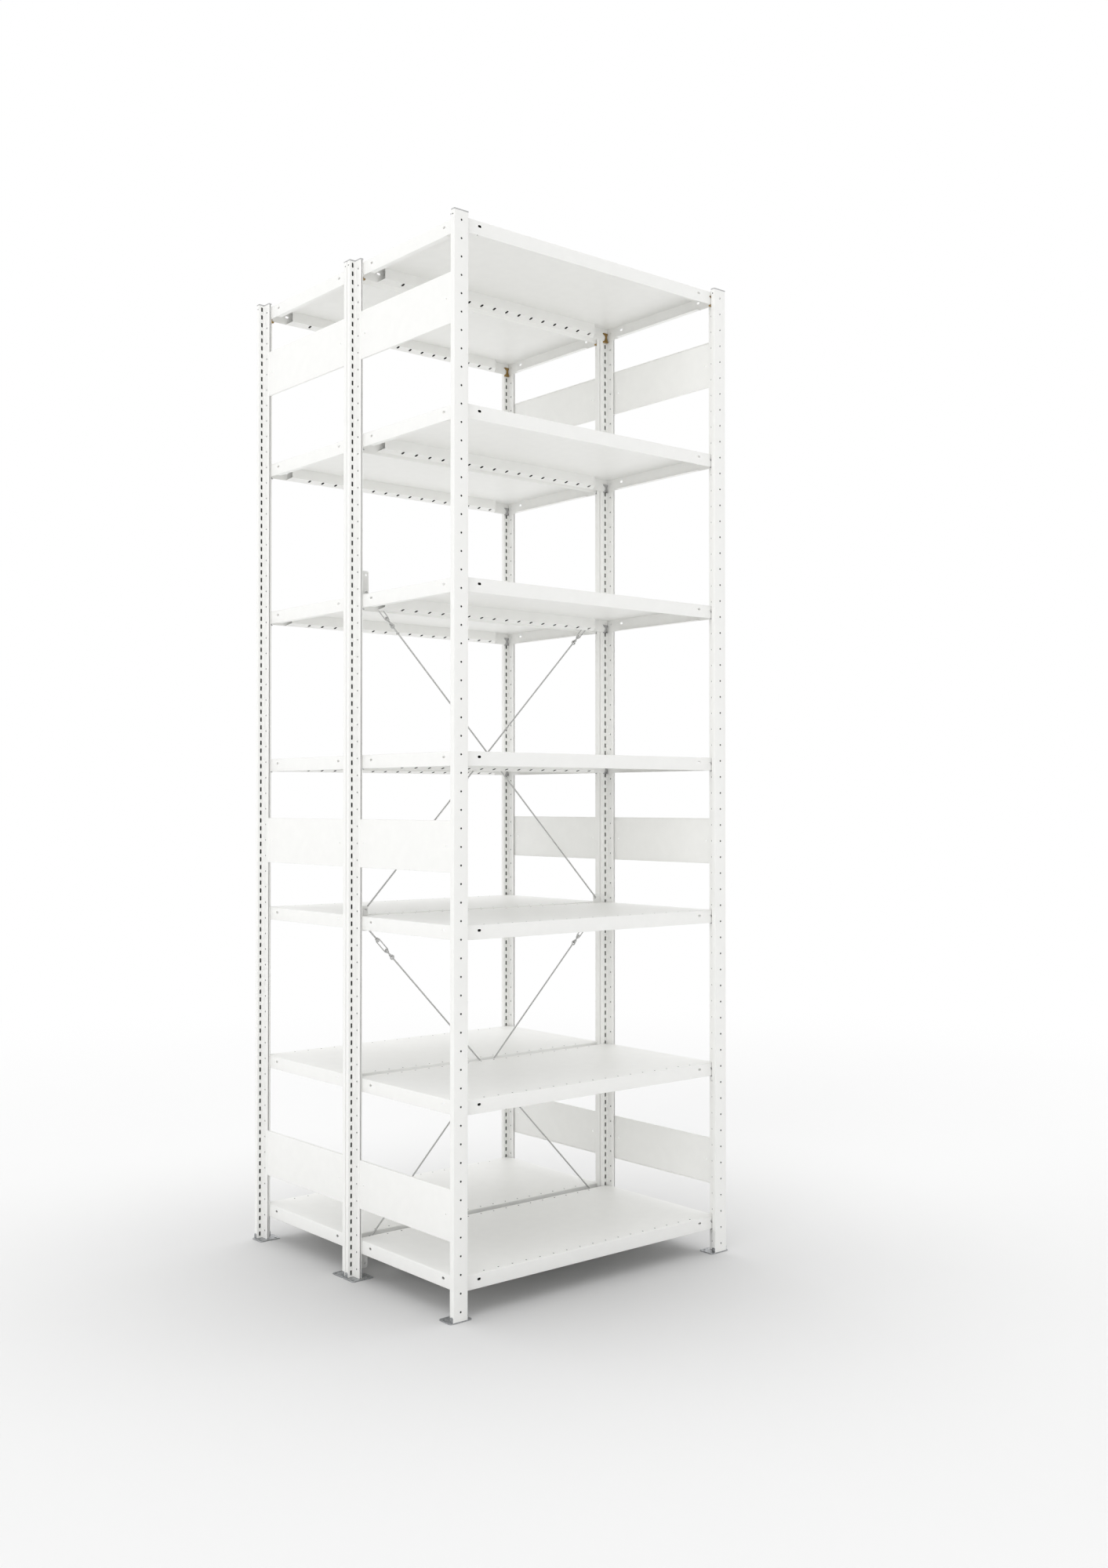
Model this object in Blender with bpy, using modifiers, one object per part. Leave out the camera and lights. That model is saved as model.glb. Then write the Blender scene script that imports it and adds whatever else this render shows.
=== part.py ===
"""Double-sided steel shelving unit: two single racks bolted back to back.

Metres, +Z up. The origin is on the floor under the middle of the unit, X runs
along the shelves and Y through the depth. The front rack lies at negative Y.
"""
import math

import bmesh
import bpy
from mathutils import Matrix, Vector

# Clearances
FIT_GAP = 0.0003
CUT_OVERRUN = 0.002
JOIN_SINK = 0.0003

# Whole unit, from the floor to the top of the post caps
UNIT_HEIGHT = 3.0073

# Shelf trays
SHELF_WIDTH = 0.996
SHELF_DEPTH = 0.500
SHELF_HEIGHT = 0.040
SHELF_SHEET = 0.001
HEM_DEPTH = 0.025
HEM_RISE = 0.008
HEM_OUTER_END = 0.067
HEM_END = 0.079
SIDE_NOTCH = 0.060
SIDE_LIP = 0.015
SHELF_SIDE_GAP = 0.0005

# T-section posts, folded from one sheet
POST_SHEET = 0.0015
FLANGE_WIDTH = 0.048
FLANGE_DEPTH = 0.015
WEB_WIDTH = 0.010
POST_DEPTH = 0.044
BEND_CHAMFER = 0.0015
SLOT_WIDTH = 0.006
SLOT_HEIGHT = 0.015
SLOT_PITCH = 0.025
SLOT_END = 0.0125
SLOT_COLUMN = 0.0135
HOLE_DIAMETER = 0.005
HOLE_PITCH = 0.050
HOLE_END = 0.025

# Shelf clips, one at each corner of each shelf
CLIP_SHEET = 0.002
CLIP_BAY_SIDE = 0.0125
CLIP_WEB_SIDE = 0.0066
CLIP_WAIST = 0.008
CLIP_LEG = 0.024
CLIP_JAW_SLACK = 0.0005
CLIP_TONGUE = 0.004
CLIP_BARB = 0.004
CLIP_SEAT = 0.0075
TOP_CLIP_SEAT = 0.0175
TOP_CLIP_LEG = 0.027

# Levels: the clips' lowest slots from the post's foot, and the top ones from its head
LOWEST_CLIP_RISE = 0.0625
LEVEL_SPACING = 0.475
STACKED_LEVELS = 6
TOP_CLIP_DROP = 0.0625

# Side panels, each centred on the nearest web hole: the upper one hangs at a drop from the
# post's head, the others at a rise from its foot
PANEL_HEIGHT = 0.142
PANEL_SHEET = 0.0012
PANEL_END = 0.020
PANEL_HOLE_INSET = 0.064
PANEL_DROP = 0.225
PANEL_MIDDLE_RISE = 1.275
PANEL_LOWER_RISE = 0.275

# Foot plates
FOOT_SHEET = 0.003
FOOT_DEPTH = 0.056
FOOT_SHORT_SIDE = 0.034
FOOT_LONG_SIDE = 0.040
FOOT_CORNER = 0.007
FOOT_EAR_SHEET = 0.002
FOOT_EAR_HEIGHT = 0.014
FOOT_EAR_INSET = 0.002
ANCHOR_LENGTH = 0.011
ANCHOR_WIDTH = 0.006
ANCHOR_OUT = 0.026
ANCHOR_BACK = 0.011

# Plastic caps on the posts
CAP_HEIGHT = 0.004
CAP_OVERHANG = 0.0002
CAP_PLUG = 0.010

# Brace plates between the back-to-back posts, bolted at flange holes: the upper ones hang
# at a drop from the post's head, the lower ones at a rise from its foot
BRACE_PLATE = 0.002
BRACE_REACH = 0.030
BRACE_INNER = 0.018
BRACE_MARGIN = 0.012
BRACE_EYE_INSET = 0.009
BRACE_EYE = 0.007
BRACE_CORNER = 0.006
BRACE_BANDS = ("upper", "middle", "lower")
BRACE_DROP = 0.925
BRACE_RISE = 0.075
BOLT_DIAMETER = 0.0040
BOLT_HEAD_DIAMETER = 0.0062
BOLT_HEAD = 0.003
BOLT_SIDES = 6
BOLT_HOLE_SIDES = 8

# Ties: an upper hook, a turnbuckle, an eye screw and a long rod, in that order
TIE_DIAMETER = 0.005
TIE_TAIL = 0.004
TIE_SIDES = 8
HOOK_STEPS = 3
RING_RADIUS = 0.00575
RING_WIRE = 0.0045
RING_SIDES = 10
RING_WIRE_SIDES = 6
BUCKLE_FROM_EYE = 0.052
BUCKLE_LENGTH = 0.060
BUCKLE_BOSS = 0.010
BUCKLE_BOSS_DIAMETER = 0.010
BUCKLE_BAR = 0.0036
BUCKLE_SPREAD = 0.0125
BUCKLE_PLAY = 0.0005
SCREW_GRIP = 0.013
SCREW_SHOWN = 0.010

# Worked out from the sizes above
CLIP_SPACE = CLIP_SHEET + 2 * FIT_GAP
BAY_WIDTH = SHELF_WIDTH + 2 * SHELF_SIDE_GAP + WEB_WIDTH
RACK_DEPTH = SHELF_DEPTH + 2 * (FLANGE_DEPTH + CLIP_SPACE)
JOINT_GAP = BRACE_PLATE + 2 * FIT_GAP
POST_BASE = FOOT_SHEET + FIT_GAP
POST_TOP = UNIT_HEIGHT - CAP_HEIGHT
POST_LENGTH = POST_TOP - POST_BASE
SHELF_Y = JOINT_GAP / 2 + RACK_DEPTH / 2
CHANNEL = WEB_WIDTH - 2 * POST_SHEET
PANEL_THICKNESS = CHANNEL - 2 * FIT_GAP
EYE_OUT = FLANGE_WIDTH / 2 + BRACE_REACH - BRACE_EYE_INSET
TIE_OFFSET = BRACE_PLATE / 2 + FIT_GAP + TIE_DIAMETER / 2
TIE_SPAN = BAY_WIDTH - 2 * EYE_OUT
BRACE_SPACING = (POST_LENGTH - BRACE_DROP - BRACE_RISE) / (len(BRACE_BANDS) - 1)
BRACE_STEP = HOLE_PITCH * round(BRACE_SPACING / HOLE_PITCH)
TIE_DROP = BRACE_STEP - HOLE_PITCH
TIE_LENGTH = math.hypot(TIE_SPAN, TIE_DROP)
BUCKLE_AT = BUCKLE_FROM_EYE + BUCKLE_LENGTH / 2
SCREW_RING_AT = BUCKLE_FROM_EYE + BUCKLE_LENGTH + SCREW_SHOWN + RING_RADIUS
RING_AT = SCREW_RING_AT + 2 * RING_RADIUS - RING_WIRE - FIT_GAP
SLOT_COUNT = round((POST_LENGTH - 2 * SLOT_END) / SLOT_PITCH) + 1

PAINT = (0.86, 0.86, 0.83, 1.0)
ZINC = (0.52, 0.53, 0.54, 1.0)
BRASS = (0.55, 0.38, 0.14, 1.0)
PLASTIC = (0.45, 0.45, 0.44, 1.0)


def clear_scene():
    for thing in list(bpy.data.objects):
        bpy.data.objects.remove(thing, do_unlink=True)


def new_collection(name):
    group = bpy.data.collections.new(name)
    bpy.context.scene.collection.children.link(group)
    return group


def new_material(name, colour, roughness, metallic):
    material = bpy.data.materials.new(name)
    material.use_nodes = True
    shader = material.node_tree.nodes["Principled BSDF"]
    shader.inputs["Base Color"].default_value = colour
    shader.inputs["Roughness"].default_value = roughness
    shader.inputs["Metallic"].default_value = metallic
    material.diffuse_color = colour
    return material


def place(name, mesh, material, location=(0, 0, 0), turn=0.0, parent=None):
    """Put one named piece in the part's collection."""
    if not mesh.materials:
        mesh.materials.append(material)
    piece = bpy.data.objects.new(name, mesh)
    parts.objects.link(piece)
    piece.location = location
    piece.rotation_euler = (0, 0, turn)
    piece.parent = parent
    return piece


def as_cutter(name, mesh):
    cutter = bpy.data.objects.new(name, mesh)
    cutters.objects.link(cutter)
    cutter.hide_render = True
    cutter.display_type = 'WIRE'
    return cutter


def box_mesh(name, boxes):
    """One mesh of separate boxes, each given by its lowest and highest corner."""
    bm = bmesh.new()
    for low, high in boxes:
        size = Vector(high) - Vector(low)
        middle = (Vector(high) + Vector(low)) / 2
        bmesh.ops.create_cube(bm, size=1.0, matrix=Matrix.Translation(middle) @ Matrix.Diagonal((*size, 1.0)))
    mesh = bpy.data.meshes.new(name)
    bm.to_mesh(mesh)
    bm.free()
    return mesh


def rod_cutter_mesh(name, centres, axis, radius, length, sides=6):
    """One mesh of separate round bars along an axis, for cutting holes."""
    turn = Vector((0, 0, 1)).rotation_difference(Vector(axis)).to_matrix().to_4x4()
    bm = bmesh.new()
    for centre in centres:
        bmesh.ops.create_cone(bm, cap_ends=True, segments=sides, radius1=radius, radius2=radius,
                              depth=length, matrix=Matrix.Translation(centre) @ turn)
    mesh = bpy.data.meshes.new(name)
    bm.to_mesh(mesh)
    bm.free()
    return mesh


def outline_mesh(name, outline, thickness):
    """A flat closed outline made into a plate, centred on z = 0."""
    curve = bpy.data.curves.new(name, 'CURVE')
    curve.dimensions = '2D'
    curve.fill_mode = 'BOTH'
    curve.extrude = thickness / 2
    spline = curve.splines.new('POLY')
    spline.points.add(len(outline) - 1)
    for point, (x, y) in zip(spline.points, outline):
        point.co = (x, y, 0, 1)
    spline.use_cyclic_u = True
    return welded_from_curve(name, curve)


def prism_mesh(name, ends):
    """A straight run between two outlines with matching corners."""
    bm = bmesh.new()
    start, end = [[bm.verts.new(point) for point in outline] for outline in ends]
    bm.faces.new(start)
    bm.faces.new(end)
    for number in range(len(start)):
        bm.faces.new((start[number - 1], start[number], end[number], end[number - 1]))
    bmesh.ops.recalc_face_normals(bm, faces=bm.faces)
    mesh = bpy.data.meshes.new(name)
    bm.to_mesh(mesh)
    bm.free()
    return mesh


def tube_mesh(name, path, diameter, sides=TIE_SIDES):
    """A round bar along a path of points, with closed ends."""
    curve = bpy.data.curves.new(name, 'CURVE')
    curve.dimensions = '3D'
    curve.bevel_depth = diameter / 2
    curve.bevel_resolution = sides // 2 - 2
    curve.use_fill_caps = True
    spline = curve.splines.new('POLY')
    spline.points.add(len(path) - 1)
    for point, co in zip(spline.points, path):
        point.co = (*co, 1)
    return welded_from_curve(name, curve)


def welded_from_curve(name, curve):
    guide = bpy.data.objects.new(name + "_guide", curve)
    bpy.context.scene.collection.objects.link(guide)
    depsgraph = bpy.context.evaluated_depsgraph_get()
    mesh = bpy.data.meshes.new_from_object(guide.evaluated_get(depsgraph))
    mesh.name = name
    bpy.data.objects.remove(guide, do_unlink=True)
    bpy.data.curves.remove(curve)
    bm = bmesh.new()
    bm.from_mesh(mesh)
    bmesh.ops.remove_doubles(bm, verts=bm.verts, dist=FIT_GAP / 10)
    bmesh.ops.recalc_face_normals(bm, faces=bm.faces)
    bm.to_mesh(mesh)
    bm.free()
    return mesh


def sheet_mesh(name, profile, length, sheet):
    """A folded sheet: an open profile in XY run up along Z, thickened to its left."""
    bm = bmesh.new()
    points = [bm.verts.new((x, y, 0)) for x, y in profile]
    edges = [bm.edges.new(pair) for pair in zip(points, points[1:])]
    run = bmesh.ops.extrude_edge_only(bm, edges=edges)
    top = [item for item in run["geom"] if isinstance(item, bmesh.types.BMVert)]
    bmesh.ops.translate(bm, verts=top, vec=(0, 0, length))
    mesh = bpy.data.meshes.new(name)
    bm.to_mesh(mesh)
    bm.free()
    form = bpy.data.objects.new(name + "_form", mesh)
    bpy.context.scene.collection.objects.link(form)
    solid = form.modifiers.new("sheet", 'SOLIDIFY')
    solid.thickness = sheet
    solid.offset = 1.0
    solid.use_even_offset = True
    return finished(name, form)


def finished(name, form):
    """The mesh of a form with its modifiers applied; the form itself goes."""
    depsgraph = bpy.context.evaluated_depsgraph_get()
    mesh = bpy.data.meshes.new_from_object(form.evaluated_get(depsgraph))
    mesh.name = name
    bpy.data.objects.remove(form, do_unlink=True)
    return mesh


def combined(name, mesh, steps):
    """A mesh after a chain of Boolean steps, each a (operation, mesh) pair."""
    form = bpy.data.objects.new(name + "_form", mesh)
    bpy.context.scene.collection.objects.link(form)
    for number, (operation, other) in enumerate(steps):
        step = form.modifiers.new("step", 'BOOLEAN')
        step.operation = operation
        step.solver = 'EXACT'
        step.object = as_cutter(f"{name}_{operation.lower()}_{number}", other)
    return finished(name, form)


def joined(name, placed):
    """Several placed copies of meshes as separate bodies of one mesh."""
    bm = bmesh.new()
    for mesh, matrix in placed:
        copy = mesh.copy()
        copy.transform(matrix)
        bm.from_mesh(copy)
        bpy.data.meshes.remove(copy)
    mesh = bpy.data.meshes.new(name)
    bm.to_mesh(mesh)
    bm.free()
    return mesh


def chamfered(profile, size):
    """An open profile with each inner corner cut off by the same size."""
    points = [Vector(p) for p in profile]
    result = [points[0]]
    for before, corner, after in zip(points, points[1:], points[2:]):
        result.append(corner + (before - corner).normalized() * size)
        result.append(corner + (after - corner).normalized() * size)
    result.append(points[-1])
    return [tuple(p) for p in result]


def rounded_rectangle(low, high, radius, steps=2):
    """A closed rectangle outline with arcs for corners, anticlockwise."""
    centres = [(high[0] - radius, high[1] - radius), (low[0] + radius, high[1] - radius),
               (low[0] + radius, low[1] + radius), (high[0] - radius, low[1] + radius)]
    outline = []
    for quarter, (x, y) in enumerate(centres):
        for step in range(steps + 1):
            angle = (quarter + step / steps) * math.pi / 2
            outline.append((x + radius * math.cos(angle), y + radius * math.sin(angle)))
    return outline


def oval(x, y, length, width, steps=1):
    """A slot outline with its long side along X."""
    half = (length / 2, width / 2)
    return rounded_rectangle((x - half[0], y - half[1]), (x + half[0], y + half[1]), width / 2, steps)


def slot_height(index):
    """Height of a slot above the floor, counted up from the lowest slot."""
    lowest = POST_LENGTH - SLOT_END - (SLOT_COUNT - 1) * SLOT_PITCH
    return POST_BASE + lowest + index * SLOT_PITCH


def hole_height(drop):
    """Height above the floor of the round hole nearest to a drop from the post's head."""
    return POST_TOP - HOLE_END - round((drop - HOLE_END) / HOLE_PITCH) * HOLE_PITCH


def panel_heights():
    """Height above the floor of the middle of each side panel, by band from the top down."""
    return {"upper": hole_height(PANEL_DROP), "middle": hole_height(POST_LENGTH - PANEL_MIDDLE_RISE),
            "lower": hole_height(POST_LENGTH - PANEL_LOWER_RISE)}


def brace_heights():
    """Height above the floor of each brace plate's bolt, by band from the top down."""
    return {band: hole_height(BRACE_DROP) - step * BRACE_STEP for step, band in enumerate(BRACE_BANDS)}


def level_slots():
    """The lower slot that the clips use at each level, bottom to top."""
    lowest = round((LOWEST_CLIP_RISE - SLOT_END) / SLOT_PITCH)
    spacing = round(LEVEL_SPACING / SLOT_PITCH)
    top = SLOT_COUNT - 1 - round((TOP_CLIP_DROP - SLOT_END) / SLOT_PITCH)
    return [lowest + spacing * level for level in range(STACKED_LEVELS)] + [top]


def level_heights():
    """Height of the underside of each shelf, bottom to top."""
    slots = level_slots()
    return [slot_height(slot) + CLIP_SEAT for slot in slots[:-1]] + [slot_height(slots[-1]) + TOP_CLIP_SEAT]


# Posts, with their clips and cap

def post_mesh(bay_side):
    """One finished post: slotted T section, a clip at each level and the cap on top."""
    half_web = WEB_WIDTH / 2
    half_flange = FLANGE_WIDTH / 2
    profile = [(-half_web, POST_DEPTH), (-half_web, FLANGE_DEPTH), (-half_flange, FLANGE_DEPTH),
               (-half_flange, 0), (half_flange, 0), (half_flange, FLANGE_DEPTH),
               (half_web, FLANGE_DEPTH), (half_web, POST_DEPTH)]
    mesh = sheet_mesh("post", chamfered(profile, BEND_CHAMFER), POST_LENGTH, POST_SHEET)
    windows = []
    for slot in level_slots():
        for height in (slot_height(slot), slot_height(slot + 1)):
            x = bay_side * SLOT_COLUMN
            z = height - POST_BASE
            low = (x - SLOT_WIDTH / 2, FLANGE_DEPTH - POST_SHEET - CUT_OVERRUN, z - SLOT_HEIGHT / 2)
            high = (x + SLOT_WIDTH / 2, FLANGE_DEPTH + CUT_OVERRUN, z + SLOT_HEIGHT / 2)
            windows.append((low, high))
    holes = [(0, POST_SHEET / 2, height - POST_BASE) for height in brace_heights().values()]
    hole_bars = rod_cutter_mesh("post_holes", holes, (0, 1, 0), HOLE_DIAMETER / 2, POST_SHEET + CUT_OVERRUN,
                                BOLT_HOLE_SIDES)
    clips = []
    for slot in level_slots():
        top = slot == level_slots()[-1]
        clip = clip_mesh("shelf_clip", bay_side, TOP_CLIP_SEAT, TOP_CLIP_LEG, False) if top else \
            clip_mesh("shelf_clip", bay_side, CLIP_SEAT, CLIP_LEG, True)
        height = slot_height(slot) - POST_BASE
        clips.append((clip, Matrix.Translation((bay_side * SLOT_COLUMN, FLANGE_DEPTH, height))))
    return combined("post", mesh, [
        ('DIFFERENCE', box_mesh("post_slots", windows)), ('DIFFERENCE', hole_bars),
        ('UNION', joined("shelf_clips", clips)), ('UNION', cap_mesh())])


def clip_mesh(name, bay_side, seat, leg, nib):
    """Bent clip: a barbed tongue in the upper slot and a jaw that holds the shelf's flange.

    Local origin: middle of the lower slot on the slotted face, +Y towards the shelf. The
    tongue bears on the bottom of its slot, where clip and post are one solid. The jaw's
    floor runs on as a nib into the lower slot where it meets one.
    """
    back = FIT_GAP
    front = back + CLIP_SHEET
    middle = (back + front) / 2
    jaw = front + FIT_GAP + SHELF_SHEET + CLIP_JAW_SLACK
    floor = seat - FIT_GAP
    under = floor - CLIP_SHEET
    top = seat + leg
    waist = seat + leg / 2
    behind = -POST_SHEET - FIT_GAP
    rest = SLOT_PITCH - SLOT_HEIGHT / 2 - JOIN_SINK
    upright = Matrix.Rotation(math.pi / 2, 4, 'Z') @ Matrix.Rotation(math.pi / 2, 4, 'X')
    strip = [(back, under), (jaw + CLIP_SHEET / 2, under), (jaw + CLIP_SHEET / 2, floor), (front, floor),
             (front, top), (back, top)]
    hooks = [[(middle, rest), (middle, rest + CLIP_TONGUE), (behind - CLIP_SHEET, rest + CLIP_TONGUE),
              (behind - CLIP_SHEET, rest - CLIP_BARB), (behind, rest - CLIP_BARB), (behind, rest)]]
    if nib:
        hooks.append([(middle, under + JOIN_SINK), (middle, floor - JOIN_SINK), (behind, floor - JOIN_SINK),
                      (behind, under + JOIN_SINK)])
    body = outline_mesh(name, strip, CLIP_WAIST)
    body.transform(upright)
    added = []
    for hook in hooks:
        mesh = outline_mesh("clip_hook", hook, SLOT_WIDTH - 2 * FIT_GAP)
        mesh.transform(upright)
        added.append(('UNION', mesh))
    near, far = bay_side * CLIP_BAY_SIDE, -bay_side * CLIP_WEB_SIDE
    narrow = bay_side * CLIP_WAIST / 2
    shield = [(near, under - JOIN_SINK), (narrow, waist), (near, top), (far, top), (-narrow, waist),
              (far, under - JOIN_SINK)]
    face = outline_mesh("clip_face", shield, CLIP_SHEET)
    face.transform(Matrix.Translation((0, jaw + CLIP_SHEET / 2, 0)) @ Matrix.Rotation(math.pi / 2, 4, 'X'))
    added.append(('UNION', face))
    return combined(name, body, added)


def cap_mesh():
    """T-shaped cap with a plug that sits in the hollow flange, at the top of a post."""
    web = WEB_WIDTH / 2 + CAP_OVERHANG
    wide = FLANGE_WIDTH / 2 + CAP_OVERHANG
    front = -CAP_OVERHANG
    shoulder = FLANGE_DEPTH + CAP_OVERHANG
    outline = [(-wide, front), (wide, front), (wide, shoulder), (web, shoulder), (web, POST_DEPTH + CAP_OVERHANG),
               (-web, POST_DEPTH + CAP_OVERHANG), (-web, shoulder), (-wide, shoulder)]
    thickness = CAP_HEIGHT + JOIN_SINK
    top = outline_mesh("post_cap", outline, thickness)
    top.transform(Matrix.Translation((0, 0, POST_LENGTH - JOIN_SINK + thickness / 2)))
    side = FLANGE_WIDTH / 2 - POST_SHEET - BEND_CHAMFER
    plug = box_mesh("cap_plug", [((-side, POST_SHEET + FIT_GAP, POST_LENGTH - CAP_PLUG),
                                  (side, FLANGE_DEPTH - POST_SHEET - FIT_GAP, POST_LENGTH + CAP_HEIGHT / 2))])
    return combined("post_cap", top, [('UNION', plug)])


def foot_mesh(name, bay_side):
    """Foot plate with rounded corners, two anchor slots and an ear at each lip of the post."""
    ends = sorted((-bay_side * FOOT_SHORT_SIDE, bay_side * FOOT_LONG_SIDE))
    plate = outline_mesh(name, rounded_rectangle((ends[0], 0), (ends[1], FOOT_DEPTH), FOOT_CORNER), FOOT_SHEET)
    plate.transform(Matrix.Translation((0, 0, FOOT_SHEET / 2)))
    inner = FLANGE_WIDTH / 2 + FIT_GAP
    ears = box_mesh("foot_ears", [
        ((min(side * inner, side * (inner + FOOT_EAR_SHEET)), FOOT_EAR_INSET, FOOT_SHEET / 2),
         (max(side * inner, side * (inner + FOOT_EAR_SHEET)), FLANGE_DEPTH - FOOT_EAR_INSET,
          FOOT_SHEET + FOOT_EAR_HEIGHT)) for side in (-1, 1)])
    anchors = []
    for side in (-1, 1):
        slot = outline_mesh("anchor_slot", oval(side * ANCHOR_OUT, FOOT_DEPTH - ANCHOR_BACK, ANCHOR_LENGTH,
                                                ANCHOR_WIDTH), FOOT_SHEET + CUT_OVERRUN)
        anchors.append((slot, Matrix.Translation((0, 0, FOOT_SHEET / 2))))
    return combined(name, plate, [('UNION', ears), ('DIFFERENCE', joined("anchor_slots", anchors))])


# Shelves

def hem_outlines():
    """Outlines in YZ at the back of a shelf: the hem's hollow, and the space under its sloping floor.

    The floor's underside starts half a sheet in from the flange's face and rises to the inner wall.
    """
    wall, start = SHELF_DEPTH / 2 - SHELF_SHEET, SHELF_DEPTH / 2 - SHELF_SHEET / 2
    inner = SHELF_DEPTH / 2 - HEM_DEPTH
    under = SHELF_HEIGHT - SHELF_SHEET
    fall = HEM_RISE / (start - inner)
    floor = SHELF_SHEET * math.hypot(1, fall)
    hollow = [(wall, (start - wall) * fall + floor), (wall, under), (inner + SHELF_SHEET, under),
              (inner + SHELF_SHEET, (start - inner - SHELF_SHEET) * fall + floor)]
    near, far = start + CUT_OVERRUN, inner - CUT_OVERRUN
    beneath = [(near, (start - near) * fall), (far, (start - far) * fall), (far, -CUT_OVERRUN), (near, -CUT_OVERRUN)]
    return hollow, beneath


def shelf_mesh():
    """Shelf tray: flanges all round, hollow hems along front and back, lips along the sides."""
    x, y = SHELF_WIDTH / 2, SHELF_DEPTH / 2
    sheet, under = SHELF_SHEET, SHELF_HEIGHT - SHELF_SHEET
    inner_y = y - HEM_DEPTH
    body = box_mesh("shelf", [((-x, -y, 0), (x, y, SHELF_HEIGHT))])
    opening = box_mesh("shelf_opening", [((-x + sheet + SIDE_LIP, -inner_y, -CUT_OVERRUN),
                                          (x - sheet - SIDE_LIP, inner_y, under))])
    side_room = box_mesh("shelf_side_room", [((-x + sheet, -inner_y, sheet), (x - sheet, inner_y, under))])
    mitre = (HEM_END - HEM_OUTER_END) / (HEM_DEPTH - sheet)
    corner = [(x - sheet, y - sheet), (x - HEM_OUTER_END, y - sheet),
              (x - HEM_END - mitre * CUT_OVERRUN, inner_y - CUT_OVERRUN),
              (x - HEM_END, y - SIDE_NOTCH), (x - sheet, y - SIDE_NOTCH)]
    runs = {"hollow": [], "beneath": [], "corner": []}
    for back in (-1, 1):
        for kind, outline in zip(("hollow", "beneath"), hem_outlines()):
            ends = [[(side * (x - sheet), back * py, pz) for py, pz in outline] for side in (-1, 1)]
            runs[kind].append((prism_mesh("hem_" + kind, ends), Matrix.Identity(4)))
        for side in (-1, 1):
            ends = [[(side * px, back * py, pz) for px, py in corner] for pz in (-CUT_OVERRUN, under)]
            runs["corner"].append((prism_mesh("shelf_corner", ends), Matrix.Identity(4)))
    return combined("shelf", body, [('DIFFERENCE', opening), ('DIFFERENCE', side_room)] + [
        ('DIFFERENCE', joined("shelf_" + kind, placed)) for kind, placed in runs.items()])


# Side panels

def panel_mesh():
    """Side panel: a shallow channel of sheet, open towards the shelves, with a hole near each end."""
    profile = [(PANEL_THICKNESS, 0), (0, 0), (0, PANEL_HEIGHT), (PANEL_THICKNESS, PANEL_HEIGHT)]
    length = RACK_DEPTH - 2 * PANEL_END
    mesh = sheet_mesh("side_panel", profile[::-1], length, PANEL_SHEET)
    mesh.transform(Matrix.Rotation(math.pi / 2, 4, 'X'))
    mesh.transform(Matrix.Translation((-PANEL_THICKNESS / 2, length / 2, -PANEL_HEIGHT / 2)))
    reach = RACK_DEPTH / 2 - PANEL_HOLE_INSET
    centres = [(-PANEL_THICKNESS / 2, end * reach, 0) for end in (-1, 1)]
    holes = rod_cutter_mesh("panel_holes", centres, (1, 0, 0), HOLE_DIAMETER / 2, PANEL_THICKNESS)
    return combined("side_panel", mesh, [('DIFFERENCE', holes)])


# Cross bracing between the racks

def brace_plate_mesh(hooked):
    """Brace plate with its bolt, and the hook of the tie that hangs from its lower eye.

    Local origin: the bolt, on the post's axis, with +X towards the bay.
    """
    low = (-BRACE_INNER, -HOLE_PITCH - BRACE_MARGIN)
    high = (FLANGE_WIDTH / 2 + BRACE_REACH, BRACE_MARGIN)
    plate = outline_mesh("brace_plate", rounded_rectangle(low, high, BRACE_CORNER), BRACE_PLATE)
    plate.transform(Matrix.Rotation(math.pi / 2, 4, 'X'))
    eyes = rod_cutter_mesh("brace_eyes", [(EYE_OUT, 0, 0), (EYE_OUT, 0, -HOLE_PITCH)], (0, 1, 0), BRACE_EYE / 2,
                           BRACE_PLATE + CUT_OVERRUN, TIE_SIDES)
    steps = [('DIFFERENCE', eyes), ('UNION', bolt_mesh())]
    if hooked:
        pull = BRACE_EYE / 2 - TIE_DIAMETER / 2 + JOIN_SINK
        hook = tube_mesh("tie_hook", hook_path(0, 1, pull, BUCKLE_AT - BUCKLE_LENGTH / 2 + SCREW_GRIP), TIE_DIAMETER)
        hook.transform(Matrix.Translation((EYE_OUT, 0, -HOLE_PITCH)) @ tie_turn())
        steps.append(('UNION', hook))
    return combined("brace_plate", plate, steps)


def bolt_mesh():
    """Turned bolt with head and nut, clamping both post flanges on the brace plate."""
    head = BOLT_HEAD_DIAMETER / 2
    shank = BOLT_DIAMETER / 2
    grip = JOINT_GAP / 2 + POST_SHEET + FIT_GAP
    profile = [(0, grip + BOLT_HEAD), (head, grip + BOLT_HEAD), (head, grip), (shank, grip),
               (shank, -grip), (head, -grip), (head, -grip - BOLT_HEAD), (0, -grip - BOLT_HEAD)]
    bm = bmesh.new()
    points = [bm.verts.new((x, 0, z)) for x, z in profile]
    for pair in zip(points, points[1:]):
        bm.edges.new(pair)
    mesh = bpy.data.meshes.new("joint_bolt")
    bm.to_mesh(mesh)
    bm.free()
    form = bpy.data.objects.new("joint_bolt_form", mesh)
    bpy.context.scene.collection.objects.link(form)
    turned = form.modifiers.new("turned", 'SCREW')
    turned.steps = BOLT_SIDES
    turned.render_steps = BOLT_SIDES
    turned.use_merge_vertices = True
    turned.merge_threshold = FIT_GAP / 10
    mesh = finished("joint_bolt", form)
    mesh.transform(Matrix.Rotation(math.pi / 2, 4, 'X'))
    return mesh


def tie_turn():
    """Turns a tie's own Z axis down along the tie that starts at a left plate."""
    along = Vector((TIE_SPAN, 0, -TIE_DROP)).normalized()
    across = Vector((0, 1, 0))
    return Matrix((across.cross(along), across, along)).transposed().to_4x4()


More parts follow.
